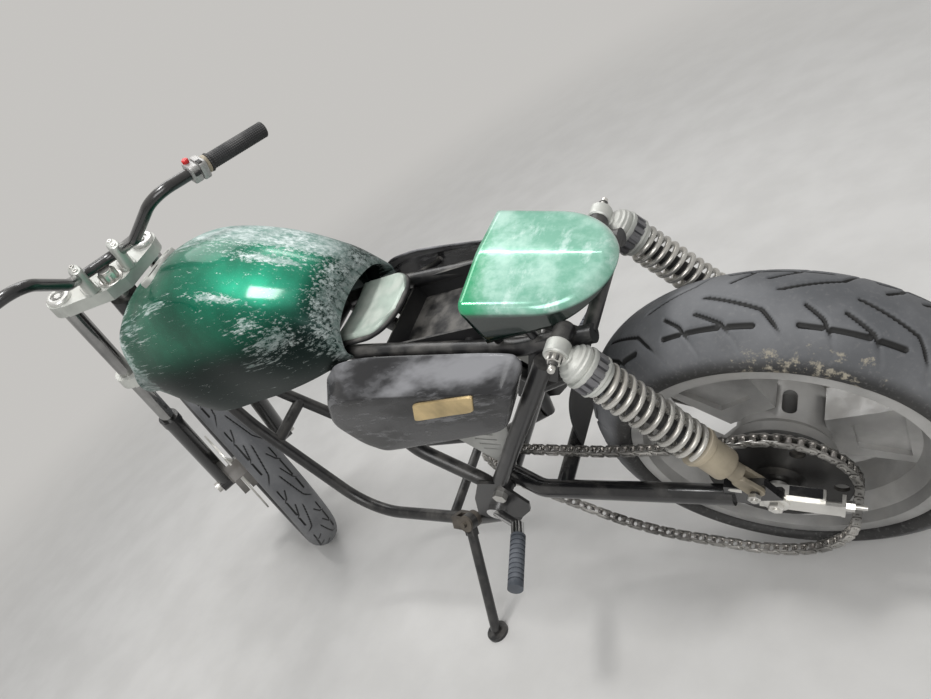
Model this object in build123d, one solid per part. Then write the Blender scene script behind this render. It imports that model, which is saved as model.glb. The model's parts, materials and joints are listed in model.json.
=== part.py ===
from build123d import *
import math
import os

os.makedirs("parts", exist_ok=True)

# Cafe racer motorcycle without its engine, leaning on its side stand.
# Every piece is drawn upright first: x forward, y left, z up from the rear axle.
# At the end the whole machine is turned so that both tyres and the stand touch the floor.

# Rear wheel and tyre
rear_tyre_radius = 309.0
rear_tyre_half_width = 84.0
rear_crown_radius = 86.0
tyre_wall = 12.0
rear_flange_radius = 230.0
rear_flange_half_width = 74.0
rear_well_radius = 196.0
rear_spoke_angles = (68.0, 188.0, 308.0)
rear_hub_radius = 72.0
rear_hub_half_width = 70.0
rear_hub_wall = 7.0
hub_slot_angle = 116.0

# Front wheel and tyre
front_tyre_radius = 333.0
front_tyre_half_width = 46.0
front_crown = 46.5
front_flange_radius = 252.0
front_flange_half_width = 32.0
front_well_radius = 226.0
front_spoke_count = 5
front_hub_radius = 40.0
front_hub_half_width = 48.0

# Steering and fork
wheelbase = 1510.0
front_axle_height = 20.0
rake = 26.6
fork_offset = 47.0
fork_half_spread = 101.0
steered_angle = -27.0
stanchion_radius = 17.5
slider_radius = 23.0
slider_top = 339.0
head_low = 548.0
head_high = 742.0
head_radius = 30.0
head_bore = 24.0
race_height = 14.0
stem_radius = 13.0
lower_clamp_at = 517.0
top_clamp_at = 773.0
clamp_height = 30.0

# Brakes and chain drive
disc_thickness = 5.0
rear_disc_radius = 118.0
rear_disc_at = -88.0
front_disc_radius = 138.0
front_disc_at = 66.0
sprocket_pitch_radius = 109.0
sprocket_at = 107.0
sprocket_thickness = 6.0
chain_roller_radius = 5.1
chain_link_half_height = 7.3
chain_groove = 8.0
chain_plate = 4.5
chain_bend_x = 120.0
chain_slant = 5.5

# Axles, pins and their running clearance
axle_radius = 10.0
running = 0.05
stud_radius = 7.0
seam = 0.3

# Swingarm
pivot_x = 490.0
pivot_z = 54.0
pivot_radius = 22.0
arm_radius = 17.0
arm_y = 136.0
arm_front_y = 100.0
arm_plate_half = 8.0
arm_plate_height = 44.0
arm_plate_tilt = -18.0
strap_y = 146.5
strap_half = 2.5

# Frame tubes
frame_radius = 14.0
backbone_radius = 24.0
strut_radius = 15.0
plate_thickness = 6.0

# Shock absorbers
shock_top = (152.0, 134.0, 395.0)
shock_bottom = (10.0, 150.0, 55.0)
shock_eye_half = 12.0
clevis_half = 16.0
spring_radius = 26.5
spring_wire_radius = 4.5
spring_coils = 10

# Lean and stand
lean = 9.0
stand_pivot = (655.0, 150.0, -55.0)
stand_foot_x = 670.0
stand_foot_y = 302.0
stand_radius = 11.0
stand_pin_radius = 6.0

# x of the steering axis's foot, and the same as the shapes ahead of the swingarm pivot were drawn for
front_x = wheelbase - 42.0
drawn_front_x = 1468.0

up_axis = Vector(-math.sin(math.radians(rake)), 0, math.cos(math.radians(rake)))
ahead_axis = Vector(math.cos(math.radians(rake)), 0, math.sin(math.radians(rake)))
left_axis = Vector(0, 1, 0)
steer_base = Vector(wheelbase, 0, front_axle_height) - ahead_axis * fork_offset
steer_cos = math.cos(math.radians(steered_angle))
steer_sin = math.sin(math.radians(steered_angle))
fork_ahead = ahead_axis * steer_cos + left_axis * steer_sin
fork_left = left_axis * steer_cos - ahead_axis * steer_sin
fork_place = Plane(origin=steer_base, x_dir=fork_ahead, z_dir=up_axis).location


def rod(start, end, radius):
    """A round bar between two points."""
    start = Vector(*start)
    way = Vector(*end) - start
    return Solid.make_cylinder(radius, way.length, Plane(origin=start, z_dir=way.normalized()))


def tube(points, bends, radius):
    """A round tube along straight runs joined by bends of the given radii."""
    path = FilletPolyline(*points, radius=bends)
    section = Plane(origin=path @ 0, z_dir=path % 0) * Circle(radius)
    return sweep(section, path=path)


def turned(profile):
    """A solid of revolution about the y axis, from (radius, y) corners."""
    return revolve(make_face(Polyline(*[(r, y, 0) for r, y in profile], close=True)), Axis.Y)


def side_plate(corners, y_low, y_high):
    """A flat plate seen from the side, from (x, z) corners, between two y values."""
    face = make_face(Polyline(*[(x, 0, z) for x, z in corners], close=True))
    plate = extrude(face, amount=y_high - y_low, dir=(0, 1, 0))
    return Pos(0, y_low, 0) * plate


def box(x_low, x_high, y_low, y_high, z_low, z_high):
    """A block between two corners."""
    size = (x_high - x_low, y_high - y_low, z_high - z_low)
    centre = ((x_low + x_high) / 2, (y_low + y_high) / 2, (z_low + z_high) / 2)
    return Pos(*centre) * Box(*size)


def stretched(x):
    """An x ahead of the swingarm pivot, moved in proportion when the wheelbase moves the steering axis."""
    return pivot_x + (x - pivot_x) * (front_x - pivot_x) / (drawn_front_x - pivot_x)


def mirrored(shape):
    """The same piece on the other side of the machine."""
    return mirror(shape, Plane.XZ)


def hexagon(start, end, radius):
    """A six-sided nut between two points."""
    start = Vector(*start)
    way = Vector(*end) - start
    face = Plane(origin=start, z_dir=way.normalized()) * RegularPolygon(radius, 6)
    return extrude(face, amount=way.length)


def along_z(radius, low, high):
    """A round bar along the z axis, which is the steering axis in fork coordinates."""
    return Pos(0, 0, low) * Cylinder(radius, high - low, align=(Align.CENTER, Align.CENTER, Align.MIN))


def on_head(along):
    """A point of the steering axis, in the upright frame."""
    return steer_base + up_axis * along


pieces = {}

# Rear wheel: rim, hollow hub with an oblong slot, and three wide spokes with recessed webs in one casting
rear_rim = turned([
    (rear_flange_radius, -rear_flange_half_width), (rear_flange_radius, -rear_flange_half_width + 5),
    (218, -66), (215, -48), (rear_well_radius, -28), (rear_well_radius, 28), (215, 48), (218, 66),
    (rear_flange_radius, rear_flange_half_width - 5), (rear_flange_radius, rear_flange_half_width),
    (211, rear_flange_half_width), (206, 56), (rear_well_radius - 7, 30),
    (rear_well_radius - 7, -30), (206, -56), (211, -rear_flange_half_width)])
rear_hub = turned([
    (axle_radius + running, -rear_hub_half_width), (rear_hub_radius - 32, -rear_hub_half_width),
    (rear_hub_radius - 6, -44), (rear_hub_radius, 44), (rear_hub_radius + 8, 54),
    (rear_hub_radius + 8, rear_hub_half_width), (axle_radius + running, rear_hub_half_width)])
hub_room = turned([(24, -36), (rear_hub_radius - 6 - rear_hub_wall, -36),
                   (rear_hub_radius - rear_hub_wall, 44), (24, 44)])
hub_slot = Pos(rear_hub_radius, 10, 0) * Rot(0, 90, 0) * Rot(0, 0, 90) * SlotOverall(46, 22)
hub_slot = extrude(hub_slot, amount=2 * rear_hub_wall, both=True)
spoke_root = rear_hub_radius - 5
spoke_tip = rear_well_radius - 5
spoke_root_half = 44.0
spoke_tip_half = 74.0
spoke_half_thick = 30.0
web_depth = 9.0
spoke_outline = make_face(Polyline(
    (spoke_root, 0, -spoke_root_half), (spoke_tip, 0, -spoke_tip_half),
    (spoke_tip, 0, spoke_tip_half), (spoke_root, 0, spoke_root_half), close=True))
web_outline = make_face(Polyline(
    (102, 0, -spoke_root_half + 14), (172, 0, -spoke_tip_half + 22),
    (172, 0, spoke_tip_half - 22), (102, 0, spoke_root_half - 14), close=True))
spoke = extrude(spoke_outline, amount=2 * spoke_half_thick, dir=(0, 1, 0))
spoke = Pos(0, -spoke_half_thick, 0) * spoke
for side in (1, -1):
    middle = side * (spoke_half_thick - web_depth / 2)
    web = extrude(web_outline, amount=web_depth + 1, dir=(0, 1, 0))
    spoke = spoke - Pos(0, middle - web_depth / 2 - 0.5, 0) * web
rear_wheel = rear_rim + rear_hub
for angle in rear_spoke_angles:
    rear_wheel = rear_wheel + Rot(0, -angle, 0) * spoke
rear_wheel = rear_wheel - hub_room - Rot(0, -hub_slot_angle, 0) * hub_slot
pieces["rear_wheel"] = rear_wheel


def tyre(radius, half_width, crown, bead_radius, bead_half, flange_radius):
    """A tubeless tyre: a round crown, bulging walls and two beads, hollow inside."""
    ring = radius - crown
    edge = half_width - 3
    shoulder = (ring + math.sqrt(crown ** 2 - edge ** 2), edge)
    rise = flange_radius + 3
    bulge = ((rise + shoulder[0]) / 2, half_width)
    inner_crown = crown - tyre_wall
    inner_edge = edge - tyre_wall
    inner_shoulder = (ring + math.sqrt(inner_crown ** 2 - inner_edge ** 2), inner_edge)
    inner_bead = bead_half - tyre_wall
    edges = []
    for hand in (1, -1):
        edges.append(Line((bead_radius, hand * inner_bead), (bead_radius, hand * bead_half)))
        edges.append(Line((bead_radius, hand * bead_half), (rise, hand * bead_half)))
        edges.append(ThreePointArc(
            (rise, hand * bead_half), (bulge[0], hand * bulge[1]), (shoulder[0], hand * edge)))
        edges.append(Line((bead_radius, hand * inner_bead), (inner_shoulder[0], hand * inner_edge)))
    edges.append(ThreePointArc(shoulder, (radius, 0), (shoulder[0], -edge)))
    edges.append(ThreePointArc(inner_shoulder, (radius - tyre_wall, 0), (inner_shoulder[0], -inner_edge)))
    return revolve(make_face(edges), Axis.Y)


pieces["rear_tyre"] = tyre(
    rear_tyre_radius, rear_tyre_half_width, rear_crown_radius, 219.0, 64.0, rear_flange_radius)

# Rear sprocket with its cush drive carrier
sprocket_root = sprocket_pitch_radius - chain_roller_radius - 0.8
sprocket_half = sprocket_thickness / 2
sprocket = turned([
    (axle_radius + running, rear_hub_half_width + seam), (62, rear_hub_half_width + seam),
    (62, sprocket_at - 8), (72, sprocket_at - sprocket_half), (sprocket_root, sprocket_at - sprocket_half),
    (sprocket_root, sprocket_at + sprocket_half), (40, sprocket_at + sprocket_half), (30, sprocket_at + 9),
    (axle_radius + running, sprocket_at + 9)])
for step in range(5):
    hole = Pos(86, sprocket_at, 0) * Rot(90, 0, 0) * Cylinder(11, 20)
    sprocket = sprocket - Rot(0, 72 * step + 18, 0) * hole
pieces["rear_sprocket"] = sprocket

# Rear brake disc on its carrier
rear_disc = turned([
    (32, -rear_hub_half_width - seam), (axle_radius + running, -rear_hub_half_width - seam),
    (axle_radius + running, -92), (50, -92), (70, rear_disc_at - disc_thickness / 2),
    (rear_disc_radius, rear_disc_at - disc_thickness / 2),
    (rear_disc_radius, rear_disc_at + disc_thickness / 2),
    (70, rear_disc_at + disc_thickness / 2), (50, -82)])
pieces["rear_brake_disc"] = rear_disc

# Rear axle with its spacers, washers and nuts
axle_end = 158.0
rear_axle = rod((0, -axle_end, 0), (0, axle_end, 0), axle_radius)
rear_axle = rear_axle + rod((0, sprocket_at + 10, 0), (0, arm_y - arm_plate_half, 0), 15)
rear_axle = rear_axle + rod((0, -93, 0), (0, -arm_y + arm_plate_half, 0), 15)
rear_axle = rear_axle + rod((0, 149, 0), (0, 152, 0), 19) + hexagon((0, 152, 0), (0, 164, 0), 16)
rear_axle = rear_axle + rod((0, -149, 0), (0, -152, 0), 19) + hexagon((0, -152, 0), (0, -164, 0), 16)
pieces["rear_axle"] = rear_axle

# Swingarm: pivot tube, two bent arms, brace, axle plates and shock lugs
pivot_bolt_radius = 8.0
lug_half = 6.0
pivot_half = arm_front_y + arm_radius + 8
swing = rod((pivot_x, -pivot_half, pivot_z), (pivot_x, pivot_half, pivot_z), pivot_radius)
for side in (1, -1):
    arm = tube([(pivot_x - 5, side * arm_front_y, pivot_z), (400, side * arm_y, 46), (62, side * arm_y, 6)],
               [60], arm_radius)
    end = box(-62, 75, side * arm_y - arm_plate_half, side * arm_y + arm_plate_half,
              -arm_plate_height / 2, arm_plate_height / 2)
    end = Rot(0, arm_plate_tilt, 0) * end
    lug_y = side * shock_bottom[1]
    lug = side_plate([(-18, 21), (40, 21), (28, 66), (-6, 66)], lug_y - lug_half, lug_y + lug_half)
    lug_foot = side_plate([(-18, 15), (40, 15), (38, 26), (-16, 26)], -5, 5)
    lug = lug + Pos(0, side * (arm_y + 5), 0) * lug_foot
    stud = rod((shock_bottom[0], lug_y - side * 18, shock_bottom[2]),
               (shock_bottom[0], lug_y + side * 20, shock_bottom[2]), stud_radius)
    slot = box(-45, 20, side * arm_y - 20, side * arm_y + 20, -axle_radius, axle_radius)
    slot = Rot(0, arm_plate_tilt, 0) * slot
    strap_side = side * strap_y
    strap_room = box(-90, 24 + seam, strap_side - strap_half - seam, strap_side + strap_half + seam,
                     -14 - seam, 14 + seam)
    strap_room = Rot(0, arm_plate_tilt, 0) * strap_room
    swing = swing + arm + end + lug + stud
    swing = swing - slot - strap_room
swing = swing + rod((360, -arm_y + 4, 42), (360, arm_y - 4, 42), 15)
swing = swing - rod((pivot_x, -160, pivot_z), (pivot_x, 160, pivot_z), pivot_bolt_radius)
pieces["swingarm"] = swing

# Chain adjusters at the axle
adjusters = []
for side in (1, -1):
    strap = box(-88, 24, side * strap_y - strap_half, side * strap_y + strap_half, -14, 14)
    bore = rod((0, side * 130, 0), (0, side * 160, 0), axle_radius)
    end_plate = box(-92, -87, side * 139 - 10, side * 139 + 10, -16, 16)
    bolt = rod((-120, side * 138, 0), (-62.5, side * 138, 0), 4)
    nut = hexagon((-104, side * 138, 0), (-92, side * 138, 0), 8)
    adjusters.append(Rot(0, arm_plate_tilt, 0) * ((strap - bore) + end_plate + bolt + nut))
pieces["chain_adjusters"] = Compound(children=adjusters)


def tangent_corner(first, second, radius):
    """Where two tangents of a circle about the axle meet, from the angles where they touch."""
    middle = math.radians((first + second) / 2)
    reach = radius / math.cos(math.radians((second - first) / 2))
    return (reach * math.cos(middle), 0, reach * math.sin(middle))


def on_tangent(angle, x):
    """The point at x on the tangent that touches the sprocket's pitch circle at an angle."""
    turn_angle = math.radians(angle)
    return (x, 0, (sprocket_pitch_radius - x * math.cos(turn_angle)) / math.sin(turn_angle))


# Drive chain: a closed loop hanging from the sprocket and the swingarm pivot
chain_top_angle = 84.8
chain_leave_angle = 198.0
chain_front_x = 556.0
chain_dip = on_tangent(chain_top_angle, 268.0)
chain_corners = [
    chain_dip, tangent_corner(chain_top_angle, chain_leave_angle, sprocket_pitch_radius),
    on_tangent(chain_leave_angle, -34.0), (330, 0, -205), (chain_front_x, 0, -30), (chain_front_x, 0, 90)]
chain_bends = [600, sprocket_pitch_radius, 150, 330, 60, 44]
chain_face = make_face(FilletPolyline(*chain_corners, radius=chain_bends, close=True))


def chain_band(half_height, y_low, y_high):
    """One layer of the chain along the loop, between two y values."""
    ring = offset(chain_face, half_height) - offset(chain_face, -half_height)
    return Pos(0, y_low, 0) * extrude(ring, amount=y_high - y_low, dir=(0, 1, 0))


chain = chain_band(chain_link_half_height, -chain_groove / 2 - chain_plate, -chain_groove / 2)
chain = chain + chain_band(chain_link_half_height, chain_groove / 2, chain_groove / 2 + chain_plate)
chain = chain + chain_band(chain_roller_radius - 0.3, -chain_groove / 2, chain_groove / 2)
chain_rear = chain - box(chain_bend_x, 900, -50, 50, -500, 500)
chain_front = chain - box(-500, chain_bend_x - seam, -50, 50, -500, 500)
chain_front = Pos(chain_bend_x, 0, 0) * Rot(0, 0, -chain_slant) * Pos(-chain_bend_x, 0, 0) * chain_front
pieces["drive_chain"] = Pos(0, sprocket_at, 0) * (chain_rear + chain_front)


# Frame: head tube and backbone
def races(along_low, along_high):
    """Two bearing races of the head tube in fork coordinates."""
    low = along_z(head_bore, along_low, along_low + race_height)
    return low + along_z(head_bore, along_high - race_height, along_high)


head = along_z(head_radius, head_low, head_high) - along_z(head_bore, head_low, head_high)
head = head + races(head_low, head_high)
head = head - along_z(stem_radius + running, head_low - 5, head_high + 5)
head = fork_place * head
head_room = rod(on_head(head_low - 40), on_head(head_high + 40), head_radius - 1)
backbone_rear = (690.0, 0.0, 484.0)
backbone_front = on_head(690)
backbone = rod(backbone_rear, (backbone_front.X, 0, backbone_front.Z), backbone_radius) - head_room
neck = on_head(head_low + 20)
gusset = side_plate([(neck.X, neck.Z), (on_head(680).X, on_head(680).Z),
                     (stretched(960), 545), (stretched(1150), 395)],
                    -plate_thickness / 2, plate_thickness / 2) - head_room
pieces["frame_spine"] = head + backbone + gusset

# Frame: down tubes with the lower cradle rails, one on each side
rail_high = (stretched(1152.0), 54.0, 240.0)
rail_front = (stretched(1022.0), 98.0, -92.0)
rail_middle = (700.0, 112.0, -112.0)
rail_rear = (548.0, 126.0, -62.0)
down_top = on_head(head_low + 42) - ahead_axis * 16
down_top_y = 20.0
spine = pieces["frame_spine"]
cross_radius = 11.0
hanger_at = 0.19
hanger = [high + (low - high) * hanger_at for high, low in zip(rail_high, rail_front)]
down = tube([(down_top.X, down_top_y, down_top.Z), rail_high, rail_front, rail_middle, rail_rear],
            [260, 150, 90], frame_radius)
down = down - head_room - spine
pieces["frame_cradle_left"] = down
pieces["frame_cradle_right"] = mirrored(down)

# Frame: rear uprights from the cradle past the pivot up to the backbone
upright_y = 132.0
upright_top = (676.0, 62.0, 428.0)
upright = tube([(545, 130, -68), (506, upright_y, 52), (628, upright_y - 16, 178), upright_top],
               [70, 90], frame_radius)
plate_in = upright_y + frame_radius - 2
plate_out = plate_in + plate_thickness
pivot_boss = rod((pivot_x, pivot_half + seam, pivot_z), (pivot_x, plate_out, pivot_z), 20)
outer_plate = side_plate([
    (452, 14), (472, 88), (520, 92), (566, 40), (602, -20), (590, -36), (500, -36), (466, -12)],
    plate_in, plate_out)
upright = upright + pivot_boss + outer_plate
upright = upright - down - spine
upright = upright - rod((pivot_x, 0, pivot_z), (pivot_x, 200, pivot_z), pivot_bolt_radius)
upright = upright - rod((pivot_x, 0, pivot_z), (pivot_x, pivot_half + seam, pivot_z), pivot_radius + seam)
pieces["frame_upright_left"] = upright
pieces["frame_upright_right"] = mirrored(upright)

# Frame: seat rails, rear struts and shock mounts, one piece on each side
rail_start = (676.0, 62.0, 432.0)
seat_rail = tube([rail_start, (572, 80, 424), (239, 100, 380), (116, 94, 374)], [120, 120], frame_radius)
strut = rod((474, 137, 84), (200, 120, 362), strut_radius)
boss_out = shock_top[1] - shock_eye_half
stud_out = shock_top[1] + shock_eye_half
shock_boss = rod((shock_top[0], 92, shock_top[2]), (shock_top[0], boss_out, shock_top[2]), 15)
shock_stud = rod((shock_top[0], 100, shock_top[2]), (shock_top[0], stud_out + 16, shock_top[2]), stud_radius)
shock_nut = hexagon((shock_top[0], stud_out, shock_top[2]), (shock_top[0], stud_out + 9, shock_top[2]), 11)
rear_gusset = side_plate([(262, 320), (214, 388), (140, 402), (146, 374), (190, 344), (222, 296)], 98, 106)
rear_side = seat_rail + strut + shock_boss + shock_stud + shock_nut + rear_gusset
rear_side = rear_side - upright - spine - rod((pivot_x, 0, pivot_z), (pivot_x, 200, pivot_z), 20)
pieces["frame_rear_left"] = rear_side
pieces["frame_rear_right"] = mirrored(rear_side)

# Frame: cross tubes between the two sides
cross_points = [
    (tuple(hanger), cross_radius + 3, down), ((760, 109, -108), cross_radius, down),
    (rail_start, frame_radius, upright + rear_side), ((126, 94, 374), cross_radius, rear_side),
    ((330, 94, 392), cross_radius, rear_side)]
crosses = []
for point, radius, neighbour in cross_points:
    bar = rod((point[0], 4 - point[1], point[2]), (point[0], point[1] - 4, point[2]), radius)
    bar = bar - neighbour
    bar = bar & box(-500, 1500, 0, 500, -500, 900)
    crosses.append(bar + mirrored(bar))
pieces["frame_cross_tubes"] = Compound(children=[solid for bar in crosses for solid in bar.solids()])

# Swingarm pivot bolt
pivot_bolt = rod((pivot_x, -plate_out - 12, pivot_z), (pivot_x, plate_out + 12, pivot_z), pivot_bolt_radius)
for side in (1, -1):
    pivot_bolt = pivot_bolt + hexagon(
        (pivot_x, side * plate_out, pivot_z), (pivot_x, side * (plate_out + 12), pivot_z), 14)
pieces["pivot_bolt"] = pivot_bolt


# Shock absorbers and their springs
def shock_parts():
    """The left shock's body and spring, drawn down the z axis from the upper eye."""
    upper = Vector(*shock_top)
    lower = Vector(*shock_bottom)
    length = (lower - upper).length
    place = Plane(origin=upper, x_dir=(0, 1, 0), z_dir=(upper - lower).normalized()).location
    spring_top = -76.0
    spring_low = -252.0
    cap_radius = spring_radius + 6.5
    profile = [(0, -14), (16, -14), (24, -24), (28, -30), (28, -44), (cap_radius, -44), (cap_radius, -66),
               (spring_radius + 2, -72), (spring_radius + 2, -76), (15, -76), (15, spring_low - 1),
               (cap_radius - 1, spring_low - 1), (cap_radius - 1, -262), (24, -266), (24, -308),
               (13, -322), (0, -322)]
    body = revolve(make_face(Polyline(*[(r, 0, z) for r, z in profile], close=True)), Axis.Z)
    top_eye = Rot(90, 0, 0) * Cylinder(18, 2 * shock_eye_half)
    low_eye = Pos(0, 0, -length) * Rot(90, 0, 0) * Cylinder(15, 2 * clevis_half)
    neck = Pos(0, 0, -length + 16) * Box(2 * clevis_half, 26, 34) + Pos(0, 0, -length + 40) * Box(24, 22, 24)
    neck = neck - Pos(0, 0, -length + 4) * Box(2 * lug_half + 1, 60, 50)
    low_eye = low_eye - Rot(0, 0, 90) * Pos(0, 0, -length + 4) * Box(2 * lug_half + 1, 60, 50)
    coil_pitch = (spring_top - spring_low) / spring_coils
    spring = None
    for turn in range(spring_coils):
        level = spring_top - coil_pitch * (turn + 0.5)
        ring = Pos(0, 0, level) * Torus(spring_radius, spring_wire_radius)
        spring = ring if spring is None else spring + ring
    link = along_z(spring_radius - 1, spring_low, spring_top)
    spring = spring + link - along_z(spring_radius - 4, spring_low, spring_top)
    return place, body, top_eye, low_eye, neck, spring, length


shock_place, shock_body, top_eye, low_eye, shock_neck, spring, shock_length = shock_parts()
turn_eye = Rot(0, 0, 90)
shock = shock_body + turn_eye * top_eye + turn_eye * low_eye + shock_neck
shock = shock_place * shock
eye_holes = rod((shock_top[0], 100, shock_top[2]), (shock_top[0], 220, shock_top[2]), stud_radius)
eye_holes = eye_holes + rod(
    (shock_bottom[0], 100, shock_bottom[2]), (shock_bottom[0], 220, shock_bottom[2]), stud_radius)
shock = shock - eye_holes - rear_side - swing
spring = shock_place * spring
pieces["shock_left"] = shock
pieces["shock_right"] = mirrored(shock)
pieces["spring_left"] = spring
pieces["spring_right"] = mirrored(spring)

# Fuel tank: a loft of arched sections with a tunnel for the backbone, trimmed to clear the fork
# x, bottom half width, bottom z, widest half width, widest z, shoulder half width, shoulder z, top z
tank_sections = [
    (560.0, 88.0, 436.0, 102.0, 472.0, 84.0, 514.0, 540.0),
    (690.0, 122.0, 416.0, 138.0, 484.0, 102.0, 596.0, 622.0),
    (850.0, 132.0, 402.0, 146.0, 500.0, 108.0, 654.0, 686.0),
    (1000.0, 130.0, 394.0, 148.0, 510.0, 100.0, 640.0, 674.0),
    (1100.0, 112.0, 410.0, 138.0, 514.0, 72.0, 610.0, 642.0),
    (1160.0, 90.0, 466.0, 110.0, 530.0, 50.0, 572.0, 592.0)]
tank_front_gap = 54.0
tunnel_half = 44.0


def tank_section(x, low_half, low_z, wide_half, wide_z, shoulder_half, shoulder_z, top_z):
    """One closed section across the tank: flat underside, two bulging sides and a crowned top."""
    return make_face([
        Line((x, -low_half, low_z), (x, low_half, low_z)),
        ThreePointArc((x, low_half, low_z), (x, wide_half, wide_z), (x, shoulder_half, shoulder_z)),
        ThreePointArc((x, shoulder_half, shoulder_z), (x, 0, top_z), (x, -shoulder_half, shoulder_z)),
        ThreePointArc((x, -shoulder_half, shoulder_z), (x, -wide_half, wide_z), (x, -low_half, low_z))])


tank = loft([tank_section(stretched(row[0]), *row[1:]) for row in tank_sections])
tunnel = side_plate([(500, 380), (500, 492), (stretched(690), 518), (stretched(1200), 662),
                     (stretched(1240), 380)], -tunnel_half, tunnel_half)
fork_straight = Plane(origin=steer_base, x_dir=ahead_axis, z_dir=up_axis).location
nose_trim = fork_straight * (Pos(-tank_front_gap + 150, 0, 600) * Box(300, 400, 900))
rail_pocket = box(520, 724, -98, 98, 400, 458)
tank = tank - tunnel - nose_trim - rail_pocket
pieces["fuel_tank"] = tank

# Filler cap: an oval lid across the tank's top
cap_at = (stretched(945.0), 0.0, 672.0)
cap = Pos(*cap_at) * Rot(0, 6, 90) * extrude(SlotOverall(98, 56), amount=12)
pieces["filler_cap"] = cap - tank

# Plate in the mouth of the tank's tunnel, resting on the frame
tunnel_plate = box(500, 574, -46, 46, 444, 450) + box(568, 574, -46, 46, 450, 476)
tunnel_plate = tunnel_plate + box(514, 526, -92, 92, 432, 444)
pieces["tunnel_plate"] = tunnel_plate - rear_side - mirrored(rear_side) - tank

# Seat cowl: a flat topped shell with a round tail
cowl_front = 276.0
cowl_tail = 84.0
cowl_half = 106.0
cowl_wall = 3.0
cowl_plan = make_face([
    Line((cowl_front, -cowl_half, 0), (cowl_front, cowl_half, 0)),
    Line((cowl_front, cowl_half, 0), (176, cowl_half - 6, 0)),
    ThreePointArc((176, cowl_half - 6, 0), (cowl_tail, 0, 0), (176, -cowl_half + 6, 0)),
    Line((176, -cowl_half + 6, 0), (cowl_front, -cowl_half, 0))])
cowl_block = Pos(0, 0, 408) * extrude(cowl_plan, amount=160, dir=(0, 0, 1))
cowl_profile = [(320, 408), (320, 494), (cowl_front, 486), (60, 412), (60, 408)]
cowl = cowl_block & side_plate(cowl_profile, -200, 200)
cowl_room = Pos(0, 0, 400) * extrude(offset(cowl_plan, -cowl_wall), amount=160, dir=(0, 0, 1))
room_profile = [(x + 8, z - cowl_wall - 2) for x, z in cowl_profile[:4]] + [(60, 396), (320, 396)]
cowl_room = cowl_room & side_plate(room_profile, -200, 200)
cowl = cowl - cowl_room
for x in (196, 256):
    foot = box(x, x + 20, cowl_half - 18, cowl_half - 5, 376, 440) & cowl_block
    foot = foot + box(x, x + 20, cowl_half - 18, cowl_half - 5, 376, 410)
    cowl = cowl + foot + mirrored(foot)
pieces["seat_cowl"] = cowl - rear_side - mirrored(rear_side)

# Tray and inner mudguard between the seat rails
tray = box(300, 520, -80, 80, 372, 376) + box(516, 520, -80, 80, 376, 410)
tray = tray + box(300, 520, -80, -76, 376, 420) + box(300, 520, 76, 80, 376, 420)
pieces["battery_tray"] = tray - rear_side - mirrored(rear_side) - pieces["frame_cross_tubes"]
guard_outer = rear_tyre_radius + 30
guard = rod((0, -56, 0), (0, 56, 0), guard_outer) - rod((0, -56, 0), (0, 56, 0), guard_outer - 3)
guard = guard & side_plate([(0, 0), (360, 60), (420, 300), (250, 330)], -60, 60)
guard = guard + side_plate([(202, 269), (206, 267), (312, 372), (306, 372)], -12, 12)
pieces["inner_mudguard"] = guard - swing - pieces["frame_cross_tubes"] - tray

# Side covers: dished shells under the seat rails
cover_in_y = 124.0
cover_out_y = 170.0
# outline of a cover's open back and of its outer face, both from (x, z) corners in the same order
cover_back = [(640, 412), (575, 448), (500, 450), (232, 398), (230, 372), (302, 288), (417, 276), (560, 264),
              (624, 262), (664, 290), (684, 350)]
cover_face = [(618, 402), (560, 411), (470, 400), (262, 370), (252, 346), (312, 274), (417, 263), (560, 250),
              (612, 247), (645, 278), (664, 345)]


def shrunk(corners, share_x, share_z):
    """The same outline drawn smaller about the mean of its corners."""
    mean_x = sum(x for x, z in corners) / len(corners)
    mean_z = sum(z for x, z in corners) / len(corners)
    return [(mean_x + (x - mean_x) * share_x, mean_z + (z - mean_z) * share_z) for x, z in corners]


def outline_at(corners, y):
    """A face across the machine at y from (x, z) corners."""
    return make_face(Polyline(*[(x, y, z) for x, z in corners], close=True))


cover_wall = 4.0
cover = loft([outline_at(cover_back, cover_in_y), outline_at(cover_face, cover_out_y)])
cover_room = loft([outline_at(shrunk(cover_back, 0.97, 0.95), cover_in_y),
                   outline_at(shrunk(cover_face, 0.96, 0.93), cover_out_y - cover_wall)])
cover = cover - cover_room - rear_side - upright
cover_post = rod((520, 84, 420), (520, cover_out_y - 1, 380), 6) - rear_side
pieces["side_cover_left"] = cover + cover_post
pieces["side_cover_right"] = mirrored(cover + cover_post)

# Louvred panels behind the side covers
louvre = side_plate([(512, 200), (372, 226), (440, 92), (462, 92)], 110, 113)
for row in range(4):
    slit = Pos(446 + 1.5 * row, 111, 196 - 16 * row) * Rot(0, -14, 0) * Box(44, 10, 4)
    louvre = louvre - slit
for x, z in ((400, 165), (452, 104)):
    louvre = louvre + rod((x, 112, z), (x, 130, z), 4)
louvre = louvre - upright - rear_side
pieces["louvre_left"] = louvre
pieces["louvre_right"] = mirrored(louvre)

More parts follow.
